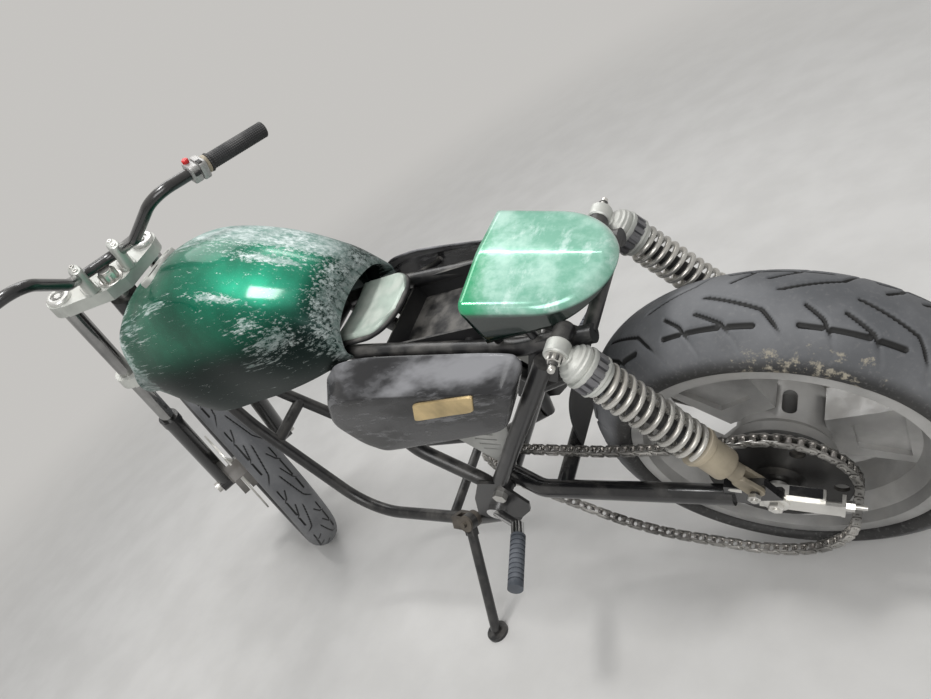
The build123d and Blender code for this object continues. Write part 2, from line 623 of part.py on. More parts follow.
# Footpegs on their brackets
peg_in = (442.0, 223.0, 28.0)
peg_out = (407.0, 325.0, 36.0)
peg_root = (539.0, plate_out, -4.0)
peg_radius = 14.0
bracket = rod(peg_root, (peg_root[0], peg_root[1] + 12, peg_root[2]), 20)
bracket = bracket + rod(
    (peg_root[0], peg_root[1] + 7, peg_root[2]), (peg_in[0] + 8, peg_in[1] - 22, peg_in[2] - 2), 9)
bracket = bracket + rod(
    (peg_in[0] + 10, peg_in[1] - 24, peg_in[2]), (peg_in[0] + 1, peg_in[1] - 1, peg_in[2]), 12)
peg = rod(peg_in, peg_out, peg_radius)
for rib in range(10):
    part_way = 0.06 + 0.09 * rib
    centre = Vector(*peg_in) + (Vector(*peg_out) - Vector(*peg_in)) * part_way
    way = (Vector(*peg_out) - Vector(*peg_in)).normalized()
    groove = Cylinder(peg_radius + 1, 3) - Cylinder(peg_radius - 2, 4)
    peg = peg - Plane(origin=centre, z_dir=way).location * groove
peg = peg - bracket
bracket = bracket - upright
for name, solid in (("peg_bracket", bracket), ("footpeg", peg)):
    pieces[name + "_left"] = solid
    pieces[name + "_right"] = mirrored(solid)

# Brake pedal on the right side
pedal = rod((560, -plate_out, -30), (560, -172, -30), 12) + rod((560, -166, -30), (650, -178, -44), 6)
pedal = pedal + rod((650, -178, -44), (742, -190, -16), 6) + rod((742, -186, -16), (742, -232, -16), 10)
pieces["brake_pedal"] = pedal - pieces["frame_upright_right"] - pieces["peg_bracket_right"]

# Rear caliper under the disc with its bracket and torque rod
caliper = box(-46, 46, rear_disc_at - 22, rear_disc_at + 18, -146, -84)
caliper = caliper - box(-60, 60, rear_disc_at - 5, rear_disc_at + 5, -125, -60)
hanger_plate = side_plate([(-26, 26), (26, 26), (104, -170), (84, -190), (60, -186), (-40, -120)], -125, -119)
hanger_plate = hanger_plate - rod((0, -200, 0), (0, 200, 0), 15)
hanger_plate = hanger_plate + box(-30, 30, -119, rear_disc_at - 22, -140, -114)
torque = rod((84, -122, -178), (330, -128, -16), 7.5) + rod((330, -128, -16), (332, -132, 20), 7)
pieces["rear_caliper"] = (caliper + hanger_plate + torque) - swing - rear_disc

# Side stand with its bracket on the cradle
stand_top = Vector(*stand_pivot)


def reach(direction, centre, axle_way, ring_radius, crown):
    """How far a round crowned tyre reaches from the origin along a direction."""
    tilt = axle_way.dot(direction)
    return centre.dot(direction) + ring_radius * math.sqrt(1 - tilt ** 2) + crown


def floor_up(pitch):
    """The floor's upward direction in the upright frame, for a pitch in radians."""
    side = math.radians(lean)
    return Vector(math.sin(pitch), -math.sin(side) * math.cos(pitch), math.cos(side) * math.cos(pitch))


front_centre = steer_base + fork_ahead * fork_offset


def tyre_drop(pitch):
    """Rear tyre's reach below the origin less the front tyre's, and the rear one."""
    down_way = floor_up(pitch) * -1
    rear_ring = rear_tyre_radius - rear_crown_radius
    rear_reach = reach(down_way, Vector(), left_axis, rear_ring, rear_crown_radius)
    front_reach = reach(down_way, front_centre, fork_left, front_tyre_radius - front_crown, front_crown)
    return rear_reach - front_reach, rear_reach


low_pitch, high_pitch = -0.1, 0.1
for halving in range(50):
    middle_pitch = (low_pitch + high_pitch) / 2
    if tyre_drop(low_pitch)[0] * tyre_drop(middle_pitch)[0] <= 0:
        high_pitch = middle_pitch
    else:
        low_pitch = middle_pitch
floor_way = floor_up(middle_pitch)
floor_drop = tyre_drop(middle_pitch)[1]
foot_z = (-floor_drop - floor_way.X * stand_foot_x - floor_way.Y * stand_foot_y) / floor_way.Z
stand_foot = Vector(stand_foot_x, stand_foot_y, foot_z)
leg_way = (stand_foot - stand_top).normalized()
folded_way = Vector(-1, 0.11, -0.05).normalized()
stand_axis = leg_way.cross(folded_way).normalized()
stand_fold = math.degrees(math.acos(leg_way.dot(folded_way)))
pin_low = stand_top - stand_axis * 22
pin_high = stand_top + stand_axis * 22
stand = rod(tuple(stand_top - stand_axis * 8), tuple(stand_top + stand_axis * 8), 18)
blade_place = Plane(origin=stand_top, x_dir=leg_way, z_dir=stand_axis).location
stand = stand + blade_place * Pos(15, 0, 0) * Box(30, 24, 16)
stand = stand + rod(tuple(stand_top + leg_way * 22), tuple(stand_foot + floor_way * 12), stand_radius)
stand = stand - rod(tuple(pin_low), tuple(pin_high), stand_pin_radius + running)
pad = Plane(origin=stand_foot, z_dir=floor_way).location * along_z(24, 0, 7)
under_floor = Plane(origin=stand_foot, z_dir=floor_way).location * Pos(0, 0, -50) * Box(300, 300, 100)
pieces["side_stand"] = (stand + pad) - under_floor
ear_place = Plane(origin=stand_top, x_dir=folded_way * -1, z_dir=stand_axis).location
ears = rod(tuple(stand_top - stand_axis * 20), tuple(stand_top - stand_axis * 8.5), 18)
ears = ears + rod(tuple(stand_top + stand_axis * 8.5), tuple(stand_top + stand_axis * 14), 18)
ears = ears + rod(tuple(pin_low), tuple(pin_high), stand_pin_radius)
ears = ears + ear_place * Pos(18, 0, -3) * (Box(36, 28, 34) - Pos(-10, 0, 3) * Box(36, 60, 17))
ears = ears + rod(tuple(stand_top - stand_axis * 18 - folded_way * 26), (700, 111, -110), 9)
pieces["stand_bracket"] = ears - down


# Fork, drawn along its own axis and then put in place: x ahead, y left, z up the steering axis
def yoke(level, thick, waist):
    """A fork clamp: two eyes joined across the stem."""
    outline = Polyline((-23, -22, 0), (-4, -62, 0), (fork_offset - 30, -fork_half_spread - 8, 0),
                       (fork_offset + 24, -fork_half_spread - 8, 0), (fork_offset + 12, -48, 0),
                       (waist, 0, 0), (fork_offset + 12, 48, 0), (fork_offset + 24, fork_half_spread + 8, 0),
                       (fork_offset - 30, fork_half_spread + 8, 0), (-4, 62, 0), (-23, 22, 0), close=True)
    body = Pos(0, 0, level - thick / 2) * extrude(make_face(outline), amount=thick, dir=(0, 0, 1))
    for hand in (1, -1):
        at_leg = Pos(fork_offset, hand * fork_half_spread, 0)
        body = body + at_leg * along_z(28, level - thick / 2, level + thick / 2)
        body = body - at_leg * along_z(stanchion_radius, level - thick, level + thick)
    return body - along_z(stem_radius, level - thick, level + thick)


top_yoke = yoke(top_clamp_at, clamp_height, 42)
low_yoke = yoke(lower_clamp_at, clamp_height, 50)
stem = along_z(stem_radius, lower_clamp_at - clamp_height / 2 - 4, top_clamp_at + clamp_height / 2 + 10)
stem = stem + along_z(20, lower_clamp_at - clamp_height / 2 - 10, lower_clamp_at - clamp_height / 2)
stem_nut = Pos(0, 0, top_clamp_at + clamp_height / 2) * extrude(RegularPolygon(19, 6), amount=20)
stem = stem + stem_nut
pieces["fork_top_clamp"] = fork_place * top_yoke
pieces["fork_lower_clamp"] = fork_place * low_yoke
pieces["steering_stem"] = fork_place * stem
tubes = []
for hand in (1, -1):
    tubes.append(Pos(fork_offset, hand * fork_half_spread, 0) * (
        along_z(stanchion_radius, slider_top - 60, top_clamp_at + clamp_height / 2 + 6)))
for name, solid in (("stanchion_left", tubes[0]), ("stanchion_right", tubes[1])):
    pieces[name] = fork_place * solid
for hand, side_name in ((1, "left"), (-1, "right")):
    leg = along_z(slider_radius, 20, slider_top) + along_z(slider_radius + 2, slider_top - 26, slider_top)
    leg = leg + Rot(90, 0, 0) * Cylinder(22, 44)
    leg = leg + Pos(10, 0, 10) * Box(20, 30, 40)
    leg = leg - along_z(stanchion_radius, slider_top - 60, slider_top + 10)
    leg = Pos(fork_offset, hand * fork_half_spread, 0) * leg
    leg = leg - Pos(fork_offset, 0, 0) * Rot(90, 0, 0) * Cylinder(axle_radius, 400)
    pieces["fork_slider_" + side_name] = fork_place * leg
front_axle = Rot(90, 0, 0) * Cylinder(axle_radius, 2 * fork_half_spread + 70)
front_axle = front_axle + Pos(0, fork_half_spread + 29, 0) * Rot(90, 0, 0) * Cylinder(15, 12)
front_axle = front_axle + Pos(0, -fork_half_spread - 29, 0) * Rot(90, 0, 0) * Cylinder(15, 12)
for hand in (1, -1):
    front_axle = front_axle + Pos(0, hand * (fork_half_spread - 22 - 3), 0) * Rot(90, 0, 0) * Cylinder(14, 6)
front_place = fork_place * Pos(fork_offset, 0, 0)
pieces["front_axle"] = front_place * front_axle

# Front wheel: rim, hub and five pairs of spokes
front_rim = turned([
    (front_flange_radius, -front_flange_half_width), (front_flange_radius, -front_flange_half_width + 4),
    (241, -26), (238, -18), (front_well_radius, -10), (front_well_radius, 10), (238, 18), (241, 26),
    (front_flange_radius, front_flange_half_width - 4), (front_flange_radius, front_flange_half_width),
    (236, front_flange_half_width), (front_well_radius - 8, 16), (front_well_radius - 8, -16),
    (236, -front_flange_half_width)])
front_hub = turned([
    (axle_radius + running, -front_hub_half_width), (front_hub_radius, -front_hub_half_width),
    (front_hub_radius - 8, -20), (front_hub_radius - 8, 20), (front_hub_radius, front_hub_half_width),
    (axle_radius + running, front_hub_half_width)])
front_spoke = side_plate([
    (front_hub_radius - 12, 8), (front_well_radius - 6, 34), (front_well_radius - 6, 16),
    (front_hub_radius - 12, -6)], -9, 9)
front_wheel = front_rim + front_hub
for step in range(front_spoke_count):
    turn = Rot(0, -360 / front_spoke_count * step - 90, 0)
    front_wheel = front_wheel + turn * front_spoke + turn * mirror(front_spoke, Plane.XY)
pieces["front_wheel"] = front_place * front_wheel
pieces["front_tyre"] = front_place * tyre(
    front_tyre_radius, front_tyre_half_width, front_crown, 241.3, 25.7, front_flange_radius)

# Front brake disc on the left of the hub, and its caliper behind the left leg
front_disc = turned([
    (axle_radius + running, front_hub_half_width + seam), (34, front_hub_half_width + seam), (52, 62),
    (70, front_disc_at - disc_thickness / 2), (front_disc_radius, front_disc_at - disc_thickness / 2),
    (front_disc_radius, front_disc_at + disc_thickness / 2), (70, front_disc_at + disc_thickness / 2),
    (46, front_disc_at + 4), (axle_radius + running, front_disc_at + 4)])
pieces["front_brake_disc"] = front_place * front_disc
front_caliper = Pos(-92, front_disc_at, 84) * Box(60, 44, 70)
front_caliper = front_caliper - Pos(-92, front_disc_at, 70) * Box(80, 10, 90)
front_caliper = front_caliper + Pos(-52, fork_half_spread - 14, 90) * Box(64, 12, 36)
front_caliper = front_place * front_caliper
pieces["front_caliper"] = front_caliper - pieces["fork_slider_left"] - pieces["front_brake_disc"]

# Handlebar, its clamps, grips and switches
bar_radius = 11.1
bar_points = [(-187, -370, 990), (-198, -128, 1008), (-118, -72, 908), (10, -52, 824),
              (10, 52, 824), (-118, 72, 908), (-198, 128, 1008), (-187, 370, 990)]
bar = tube(bar_points, [55, 60, 40, 40, 60, 55], bar_radius)
pieces["handlebar"] = fork_place * bar
clamps = []
for hand in (1, -1):
    block = Pos(10, hand * 44, 0) * along_z(13, top_clamp_at + clamp_height / 2, 812)
    block = block + Pos(10, hand * 44, 824) * Rot(90, 0, 0) * Cylinder(19, 24)
    block = block + Pos(10, hand * 44, 824) * Box(48, 24, 12)
    block = block - bar - top_yoke - stem
    clamps.append(fork_place * block)
pieces["handlebar_clamps"] = Compound(children=[solid for block in clamps for solid in block.solids()])
bar_end_way = (Vector(*bar_points[-1]) - Vector(*bar_points[-2])).normalized()
for hand, side_name in ((1, "left"), (-1, "right")):
    way = Vector(bar_end_way.X, hand * bar_end_way.Y, bar_end_way.Z)
    tip = Vector(bar_points[-1][0], hand * bar_points[-1][1], bar_points[-1][2])
    grip = rod(tuple(tip - way * 124), tuple(tip + way * 4), 15.5)
    grip = grip - rod(tuple(tip - way * 200), tuple(tip), bar_radius)
    pieces["grip_" + side_name] = fork_place * grip
    centre = tip - way * 148
    switch = Plane(origin=centre + Vector(0, 0, 3), x_dir=(1, 0, 0), z_dir=way).location * Box(40, 36, 36)
    switch = switch + rod(tuple(centre + Vector(16, 0, 0)), tuple(centre + Vector(34, 0, -4)), 8)
    switch = switch - rod(tuple(tip - way * 230), tuple(tip), bar_radius) - grip
    pieces["switch_" + side_name] = fork_place * switch

# Turn the machine onto its wheels and stand and centre it over the origin
along_floor = (Vector(1, 0, 0) - floor_way * floor_way.X).normalized()
floor_plane = Plane(origin=floor_way * -floor_drop, x_dir=along_floor, z_dir=floor_way)
lean_over = floor_plane.location.inverse()
leaned = {name: lean_over * piece for name, piece in pieces.items()}
whole = Compound(children=[solid for piece in leaned.values() for solid in piece.solids()]).bounding_box()
centred = Pos(-(whole.min.X + whole.max.X) / 2, -(whole.min.Y + whole.max.Y) / 2, 0)

for name, piece in leaned.items():
    piece = centred * piece
    export_step(piece, "parts/" + name + ".step")
    print(name, piece.is_valid, len(piece.solids()), round(piece.volume))
print("size", whole.size, "lowest", whole.min.Z, "fold", stand_fold)
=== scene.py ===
# %% [markdown]
# # A cafe racer without its engine
# The motorcycle leans on its side stand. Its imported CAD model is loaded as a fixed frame, and every
# surface made here is placed from that frame: from the rear axle, from the steering axis and from the
# front axle. The machine is drawn upright in millimetres and each point is carried to the leaning place.

# %% Frame and libraries
import json
import math
import bmesh
import bpy
import numpy as np
from mathutils import Matrix, Vector


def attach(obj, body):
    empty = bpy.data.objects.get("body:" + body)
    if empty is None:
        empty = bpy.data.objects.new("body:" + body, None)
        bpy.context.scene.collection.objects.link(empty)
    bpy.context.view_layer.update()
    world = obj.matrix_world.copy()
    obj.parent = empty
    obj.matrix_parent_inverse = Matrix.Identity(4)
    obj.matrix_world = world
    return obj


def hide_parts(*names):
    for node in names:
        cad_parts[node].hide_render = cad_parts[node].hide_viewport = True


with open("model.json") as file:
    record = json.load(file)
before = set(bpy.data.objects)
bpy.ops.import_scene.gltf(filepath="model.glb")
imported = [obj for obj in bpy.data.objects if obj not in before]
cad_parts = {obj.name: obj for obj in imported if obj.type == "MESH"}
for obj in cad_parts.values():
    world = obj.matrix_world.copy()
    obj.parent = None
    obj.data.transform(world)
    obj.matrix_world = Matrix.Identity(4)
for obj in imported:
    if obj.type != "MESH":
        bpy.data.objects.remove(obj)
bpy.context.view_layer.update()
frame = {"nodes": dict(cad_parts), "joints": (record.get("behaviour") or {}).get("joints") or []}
joints = {joint["name"]: joint for joint in frame["joints"]}

# %% [markdown]
# Two frames of reference are needed. The upright frame has its origin at the middle of the rear axle,
# x ahead, y left and z up. The fork frame has its origin where a line from the front axle meets the
# steering axis at a right angle. Both follow from the joints that the frame holds.

# %% Upright frame and fork frame
def unit(vectors):
    """Vectors divided by their length."""
    return np.asarray(vectors, float) / np.linalg.norm(vectors, axis=-1, keepdims=True)


axle_centre = np.array(joints["rear_wheel_spin"]["pos_m"])
left = np.array(joints["rear_wheel_spin"]["axis"])
ahead = unit([-left[2], 0.0, left[0]])
up = np.cross(ahead, left)
upright_axes = np.array([ahead, left, up])

fork_up = np.array(joints["steering"]["axis"])
fork_left = np.array(joints["front_wheel_spin"]["axis"])
fork_ahead = np.cross(fork_left, fork_up)
fork_offset = 47.0
fork_base = np.array(joints["front_wheel_spin"]["pos_m"]) - fork_ahead * fork_offset / 1000
fork_axes = np.array([fork_ahead, fork_left, fork_up])
hands = {1: "left", -1: "right"}


def from_upright(points):
    """Upright millimetres to scene metres: the axle's place plus the three axes times the coordinates."""
    return axle_centre + np.asarray(points, float) / 1000 @ upright_axes


def from_fork(points):
    """Fork millimetres to scene metres, the same way about the fork's origin."""
    return fork_base + np.asarray(points, float) / 1000 @ fork_axes


print("rear axle", axle_centre, "fork base", fork_base)

# %% [markdown]
# A surface is a grid of points over two parameters. `grid` turns the array into quads and gives each
# corner its two parameters as UV coordinates, `lathe` makes the grid of a turned shape, `sleeve` carries a
# round or any other profile along a path, and `piece` joins such parts into one mesh with outward faces.

# %% Surfaces as grids
def grid(points, wrap_rows=False, wrap_columns=False):
    """Quads between neighbours of a (rows, columns, 3) array, with UV = row share, column share."""
    rows, columns = points.shape[:2]
    i, j = np.meshgrid(np.arange(rows if wrap_rows else rows - 1),
                       np.arange(columns if wrap_columns else columns - 1), indexing="ij")
    i = i.ravel()
    j = j.ravel()
    corners = ((0, 0), (1, 0), (1, 1), (0, 1))
    faces = np.stack([((i + a) % rows) * columns + (j + b) % columns for a, b in corners], 1)
    uv = np.stack([np.stack([(i + a) / rows, (j + b) / columns], 1) for a, b in corners], 1)
    return points.reshape(-1, 3), faces, uv


def axes_for(way):
    """Two unit vectors at right angles to a direction and to each other."""
    way = unit(way)
    side = unit(np.cross(way, (0.0, 0.0, 1.0) if abs(way[2]) < 0.9 else (1.0, 0.0, 0.0)))
    return side, np.cross(way, side), way


def around(count):
    """Angles that share a full turn evenly."""
    return np.linspace(0, 2 * np.pi, count, endpoint=False)


def circle(angle, side, other):
    """Points at angles on the unit circle that two directions span, one row each."""
    return np.cos(angle)[:, None] * side + np.sin(angle)[:, None] * other


def linked(name, data):
    """A new object in the scene that holds a mesh, a lamp or a camera."""
    made = bpy.data.objects.new(name, data)
    bpy.context.scene.collection.objects.link(made)
    return made


def lathe(start, end, profile, sides=32, shape=None):
    """A turned part: each (radius, height) pair of the profile becomes a ring about the line from start
    to end, height counted from start. shape(angle) scales the radius, for a nut or a ribbed grip."""
    side, other, way = axes_for(np.subtract(end, start))
    angle = around(sides)
    scale = np.ones(sides) if shape is None else shape(angle)
    radius, height = np.array(profile, float).T[:, :, None, None]
    ring = scale[:, None] * circle(angle, side, other)
    return grid(np.asarray(start, float) + height * way + radius * ring, wrap_columns=True)


def hexagonal(angle):
    """Radius of a hexagon with unit corners: cos 30 over the cosine of the angle to the flat's middle."""
    return np.cos(np.pi / 6) / np.cos((angle % (np.pi / 3)) - np.pi / 6)


def bolt(start, end, radius, head=None):
    """A hex head with a chamfered top and a shorter round end that stands out of it."""
    length = np.linalg.norm(np.subtract(end, start))
    rise = length if head is None else head
    nut = lathe(start, end, [(0, 0), (radius, 0), (radius, rise * 0.8), (radius * 0.86, rise), (0, rise)],
                36, hexagonal)
    if head is None:
        return [nut]
    pin = radius * 0.5
    shank = [(0, 0), (pin, rise * 0.9), (pin, length * 0.94), (pin * 0.8, length), (0, length)]
    return [nut, lathe(start, end, shank, 16)]


def sleeve(path, radius, sides=12, closed=False, flat=1.0, fixed=None):
    """A tube along a path: rings at right angles to the path's direction, which is the difference of its
    neighbours; the rings' axes come from the cross product with one fixed direction. flat squeezes them."""
    path = np.asarray(path, float)
    if closed:
        way = np.roll(path, -1, 0) - np.roll(path, 1, 0)
    else:
        way = np.gradient(path, axis=0)
    way = unit(way)
    if fixed is None:
        fixed = np.eye(3)[np.argmin(np.ptp(path, axis=0))]
    side = unit(np.cross(way, fixed))
    other = np.cross(way, side)
    angle = around(sides)
    radius = np.broadcast_to(np.asarray(radius, float), (len(path),))
    ring = np.cos(angle)[None, :, None] * side[:, None] + flat * np.sin(angle)[None, :, None] * other[:, None]
    points = path[:, None] + radius[:, None, None] * ring
    if not closed:
        ends = np.repeat(path[[0, -1], None], sides, 1)
        points = np.concatenate([ends[:1], points, ends[1:]])
    return grid(points, wrap_rows=closed, wrap_columns=True)


finishes = {}


def piece(name, parts, body, finish, place=from_upright, stands_for=(), sharp=32.0, attributes=None):
    """One mesh from several parts, doubles merged, faces turned outwards, smooth except past an angle."""
    counts = np.cumsum([0] + [len(part[0]) for part in parts])
    points = np.concatenate([part[0] for part in parts])
    faces = np.concatenate([part[1] + start for part, start in zip(parts, counts)])
    mesh = bpy.data.meshes.new(name)
    mesh.from_pydata(place(points).tolist(), [], faces.tolist())
    layer = mesh.uv_layers.new(name="UVMap")
    layer.data.foreach_set("uv", np.concatenate([part[2] for part in parts]).astype(np.float32).ravel())
    for key, share in (attributes or {}).items():
        mesh.attributes.new(key, "FLOAT", "POINT").data.foreach_set("value", share(points).astype(np.float32))
    work = bmesh.new()
    work.from_mesh(mesh)
    bmesh.ops.remove_doubles(work, verts=work.verts, dist=1e-5)
    bmesh.ops.recalc_face_normals(work, faces=work.faces)
    work.to_mesh(mesh)
    work.free()
    mesh.shade_smooth()
    mesh.set_sharp_from_angle(angle=math.radians(sharp))
    made = linked(name, mesh)
    mesh.materials.append(finishes[finish])
    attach(made, body)
    if stands_for:
        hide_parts(*stands_for)
    print(name, len(mesh.polygons), "faces")
    return made


def walled(made, thickness):
    """Gives a sheet its thickness in metres, half of it on each side."""
    wall = made.modifiers.new("wall", "SOLIDIFY")
    wall.thickness = thickness
    wall.offset = 0.0


# %% [markdown]
# Every finish is a small node tree on Object coordinates, which are the scene's metres. `Finish` keeps the
# tree short: it makes noise, soft thresholds and mixes, and leaves constant values on the shader itself.

# %% A helper for finishes
class Finish:
    """A material whose colour, roughness and bump come from noise on Object coordinates."""

    def __init__(self, name, colour, metallic=0.0, roughness=0.5, coat=0.0, coat_roughness=0.1):
        """One shader with these values, which the methods below may link to nodes."""
        self.material = bpy.data.materials.new(name)
        self.material.use_nodes = True
        self.material.diffuse_color = (*colour, 1.0)
        self.tree = self.material.node_tree
        self.shader = self.tree.nodes["Principled BSDF"]
        self.shader.inputs["Base Color"].default_value = (*colour, 1.0)
        self.shader.inputs["Metallic"].default_value = metallic
        self.shader.inputs["Roughness"].default_value = roughness
        self.shader.inputs["Coat Weight"].default_value = coat
        self.shader.inputs["Coat Roughness"].default_value = coat_roughness
        self.coordinates = self.node("TexCoord")

    def node(self, kind, inputs=None, **settings):
        """A shader node whose inputs are linked from sockets or set to values."""
        made = self.tree.nodes.new("ShaderNode" + kind)
        for key, value in settings.items():
            setattr(made, key, value)
        for key, value in (inputs or {}).items():
            if isinstance(value, bpy.types.NodeSocket):
                self.tree.links.new(value, made.inputs[key])
            else:
                made.inputs[key].default_value = value
        return made

    def noise(self, scale, detail=4.0, stretch=(1, 1, 1), shift=(0, 0, 0), coordinate="Object", rough=0.55):
        """Fractal noise between 0 and 1 whose cells are 1 / scale metres long."""
        place = self.node("Mapping", {
            "Vector": self.coordinates.outputs[coordinate], "Scale": stretch, "Location": shift})
        return self.node("TexNoise", {
            "Vector": place.outputs[0], "Scale": scale, "Detail": detail, "Roughness": rough}).outputs["Fac"]

    def step(self, value, low, high, to_low=0.0, to_high=1.0):
        """A soft threshold: to_low below low, to_high above high and smooth between."""
        return self.node("MapRange", {
            "Value": value, "From Min": low, "From Max": high, "To Min": to_low, "To Max": to_high},
            interpolation_type="SMOOTHSTEP").outputs[0]

    def attribute(self, name):
        """A value from 0 to 1 that the mesh holds at its points."""
        return self.node("Attribute", attribute_name=name).outputs["Fac"]

    def maths(self, kind, *values):
        """One operation on two values, or on each further value and the result so far."""
        total = values[0]
        for value in values[1:]:
            total = self.node("Math", {0: total, 1: value}, operation=kind).outputs[0]
        return total

    def plus(self, *values):
        """Their sum."""
        return self.maths("ADD", *values)

    def times(self, *values):
        """Their product."""
        return self.maths("MULTIPLY", *values)

    def most(self, *values):
        """The largest of them."""
        return self.maths("MAXIMUM", *values)

    def blend(self, share, first, second):
        """Mixes two colours, each a socket or three numbers."""
        sockets = [value if isinstance(value, bpy.types.NodeSocket) else (*value[:3], 1.0)
                   for value in (first, second)]
        values = {0: share, 6: sockets[0], 7: sockets[1]}
        return self.node("Mix", values, data_type="RGBA").outputs[2]

    def facing_up(self):
        """How far the surface looks up, from -1 to 1, where dust can lie."""
        shape = self.node("NewGeometry")
        return self.node("SeparateXYZ", {0: shape.outputs["Normal"]}).outputs[2]

    def link(self, socket, value):
        """The shader's socket takes its value from another node."""
        self.tree.links.new(value, self.shader.inputs[socket])

    def bump(self, height, strength, distance):
        """Tilts the shading by the slope of a height, which is distance metres high where it is 1."""
        made = self.node("Bump", {"Height": height, "Strength": strength, "Distance": distance})
        self.tree.links.new(made.outputs[0], self.shader.inputs["Normal"])


def dusty(name, colour, metallic, roughness, dust, amount, grain=300.0, depth=0.0004, spread=0.12, coat=0.0):
    """Any hard finish: its colour drifts by noise, dust settles on what looks up, roughness follows it."""
    made = Finish(name, colour, metallic, roughness, coat, 0.2)
    broad = made.noise(9.0, 5.0)
    fine = made.noise(grain, 3.0)
    darker = tuple(share * (1 - spread * 2) for share in colour)
    lighter = tuple(min(1.0, share * (1 + spread * 2)) for share in colour)
    ground = made.blend(made.step(broad, 0.3, 0.7), darker, lighter)
    lying = made.step(made.facing_up(), -0.2, 1.0, 0.0, amount)
    patchy = made.step(made.noise(22.0, 6.0, shift=(3, 1, 2)), 0.38, 0.66)
    mask = made.times(lying, patchy)
    made.link("Base Color", made.blend(mask, ground, dust))
    made.link("Roughness", made.step(mask, 0.0, 0.8, roughness, min(0.95, roughness + 0.45)))
    if metallic:
        made.link("Metallic", made.step(mask, 0.1, 0.9, metallic, metallic * 0.3))
    made.bump(fine, 0.35, depth)
    return made.material


# %% [markdown]
# The machine has stood for years, so most parts carry a film of pale dust over their own finish. Bright
# metals stay nearly clean, paint and plastic are dustier on top, and the chain is dark with old oil.

# %% Finishes of the hard parts
dust_colour = (0.36, 0.34, 0.31)
hard_finishes = {
    # colour, metallic, roughness, dust colour, dust amount, then noise grain, bump depth, colour spread, coat
    "frame_paint": ((0.01, 0.01, 0.011), 0.0, 0.34, dust_colour, 0.26, 300.0, 0.0004, 0.12, 0.25),
    "arm_paint": ((0.008, 0.008, 0.009), 0.0, 0.24, dust_colour, 0.12, 300.0, 0.0004, 0.12, 0.5),
    "cast_grey": ((0.38, 0.375, 0.365), 0.45, 0.38, (0.34, 0.32, 0.29), 0.3, 500.0, 0.0005),
    "bright_alloy": ((0.62, 0.62, 0.6), 0.85, 0.3, (0.5, 0.48, 0.44), 0.25, 600.0, 0.0002),
    "cast_alloy": ((0.52, 0.53, 0.5), 0.5, 0.46, (0.62, 0.6, 0.55), 0.4, 400.0, 0.0006),
    "zinc": ((0.64, 0.63, 0.6), 0.85, 0.28, (0.45, 0.41, 0.35), 0.2, 700.0, 0.0002),
    "chrome": ((0.6, 0.6, 0.6), 1.0, 0.12, (0.45, 0.43, 0.4), 0.2, 500.0, 0.0001),
    "stanchion_chrome": ((0.3, 0.3, 0.295), 1.0, 0.14, (0.3, 0.28, 0.25), 0.3, 500.0, 0.0001),
    "dull_steel": ((0.26, 0.25, 0.24), 0.9, 0.38, (0.3, 0.27, 0.23), 0.3, 500.0, 0.0003),
    "spring_paint": ((0.52, 0.51, 0.48), 0.7, 0.26, (0.4, 0.35, 0.28), 0.3, 400.0, 0.0003),
    "collar_grey": ((0.17, 0.17, 0.18), 0.6, 0.3, (0.5, 0.49, 0.47), 0.4, 500.0, 0.0003),
    "tan_alloy": ((0.33, 0.285, 0.21), 0.3, 0.5, (0.5, 0.45, 0.37), 0.5, 350.0, 0.0006, 0.22),
    "pale_plate": ((0.4, 0.47, 0.41), 0.1, 0.36, (0.62, 0.64, 0.58), 0.55, 300.0, 0.0004, 0.2),
    "panel_grey": ((0.4, 0.4, 0.38), 0.2, 0.45, (0.5, 0.48, 0.45), 0.35),
    "soft_black": ((0.016, 0.016, 0.017), 0.0, 0.55, dust_colour, 0.4, 400.0, 0.0005),
    "grip_rubber": ((0.02, 0.02, 0.021), 0.0, 0.62, (0.3, 0.29, 0.28), 0.3, 700.0, 0.0004),
    "peg_rubber": ((0.075, 0.085, 0.1), 0.0, 0.55, (0.34, 0.35, 0.38), 0.35, 700.0, 0.0004),
    "red_plastic": ((0.55, 0.02, 0.02), 0.0, 0.3, dust_colour, 0.1),
    "badge_gold": ((0.6, 0.46, 0.24), 0.75, 0.34, (0.3, 0.22, 0.13), 0.6, 120.0, 0.0008, 0.2),
    "plate_grime": ((0.06, 0.052, 0.044), 0.2, 0.48, (0.3, 0.26, 0.21), 0.7, 200.0, 0.0006, 0.3),
    "sprocket_black": ((0.022, 0.021, 0.02), 0.5, 0.42, (0.24, 0.22, 0.19), 0.45, 300.0, 0.0004),
    "chain_plates": ((0.4, 0.39, 0.37), 0.9, 0.3, (0.06, 0.05, 0.045), 0.7, 500.0, 0.0002, 0.3),
    "roller_steel": ((0.62, 0.6, 0.58), 1.0, 0.2, (0.2, 0.17, 0.15), 0.45, 500.0, 0.0002)}
for name, row in hard_finishes.items():
    finishes[name] = dusty(name, *row)
print(len(finishes), "finishes of hard parts")

# %% [markdown]
# The tank's paint is the eye-catcher: emerald metallic under clear lacquer, sanded back to a pale grey
# haze at the far side, the nose and the rear rim, with streaks along its length and white scuffs on its
# flank. Broad places of wear come from an attribute on the mesh, their ragged edges from noise.

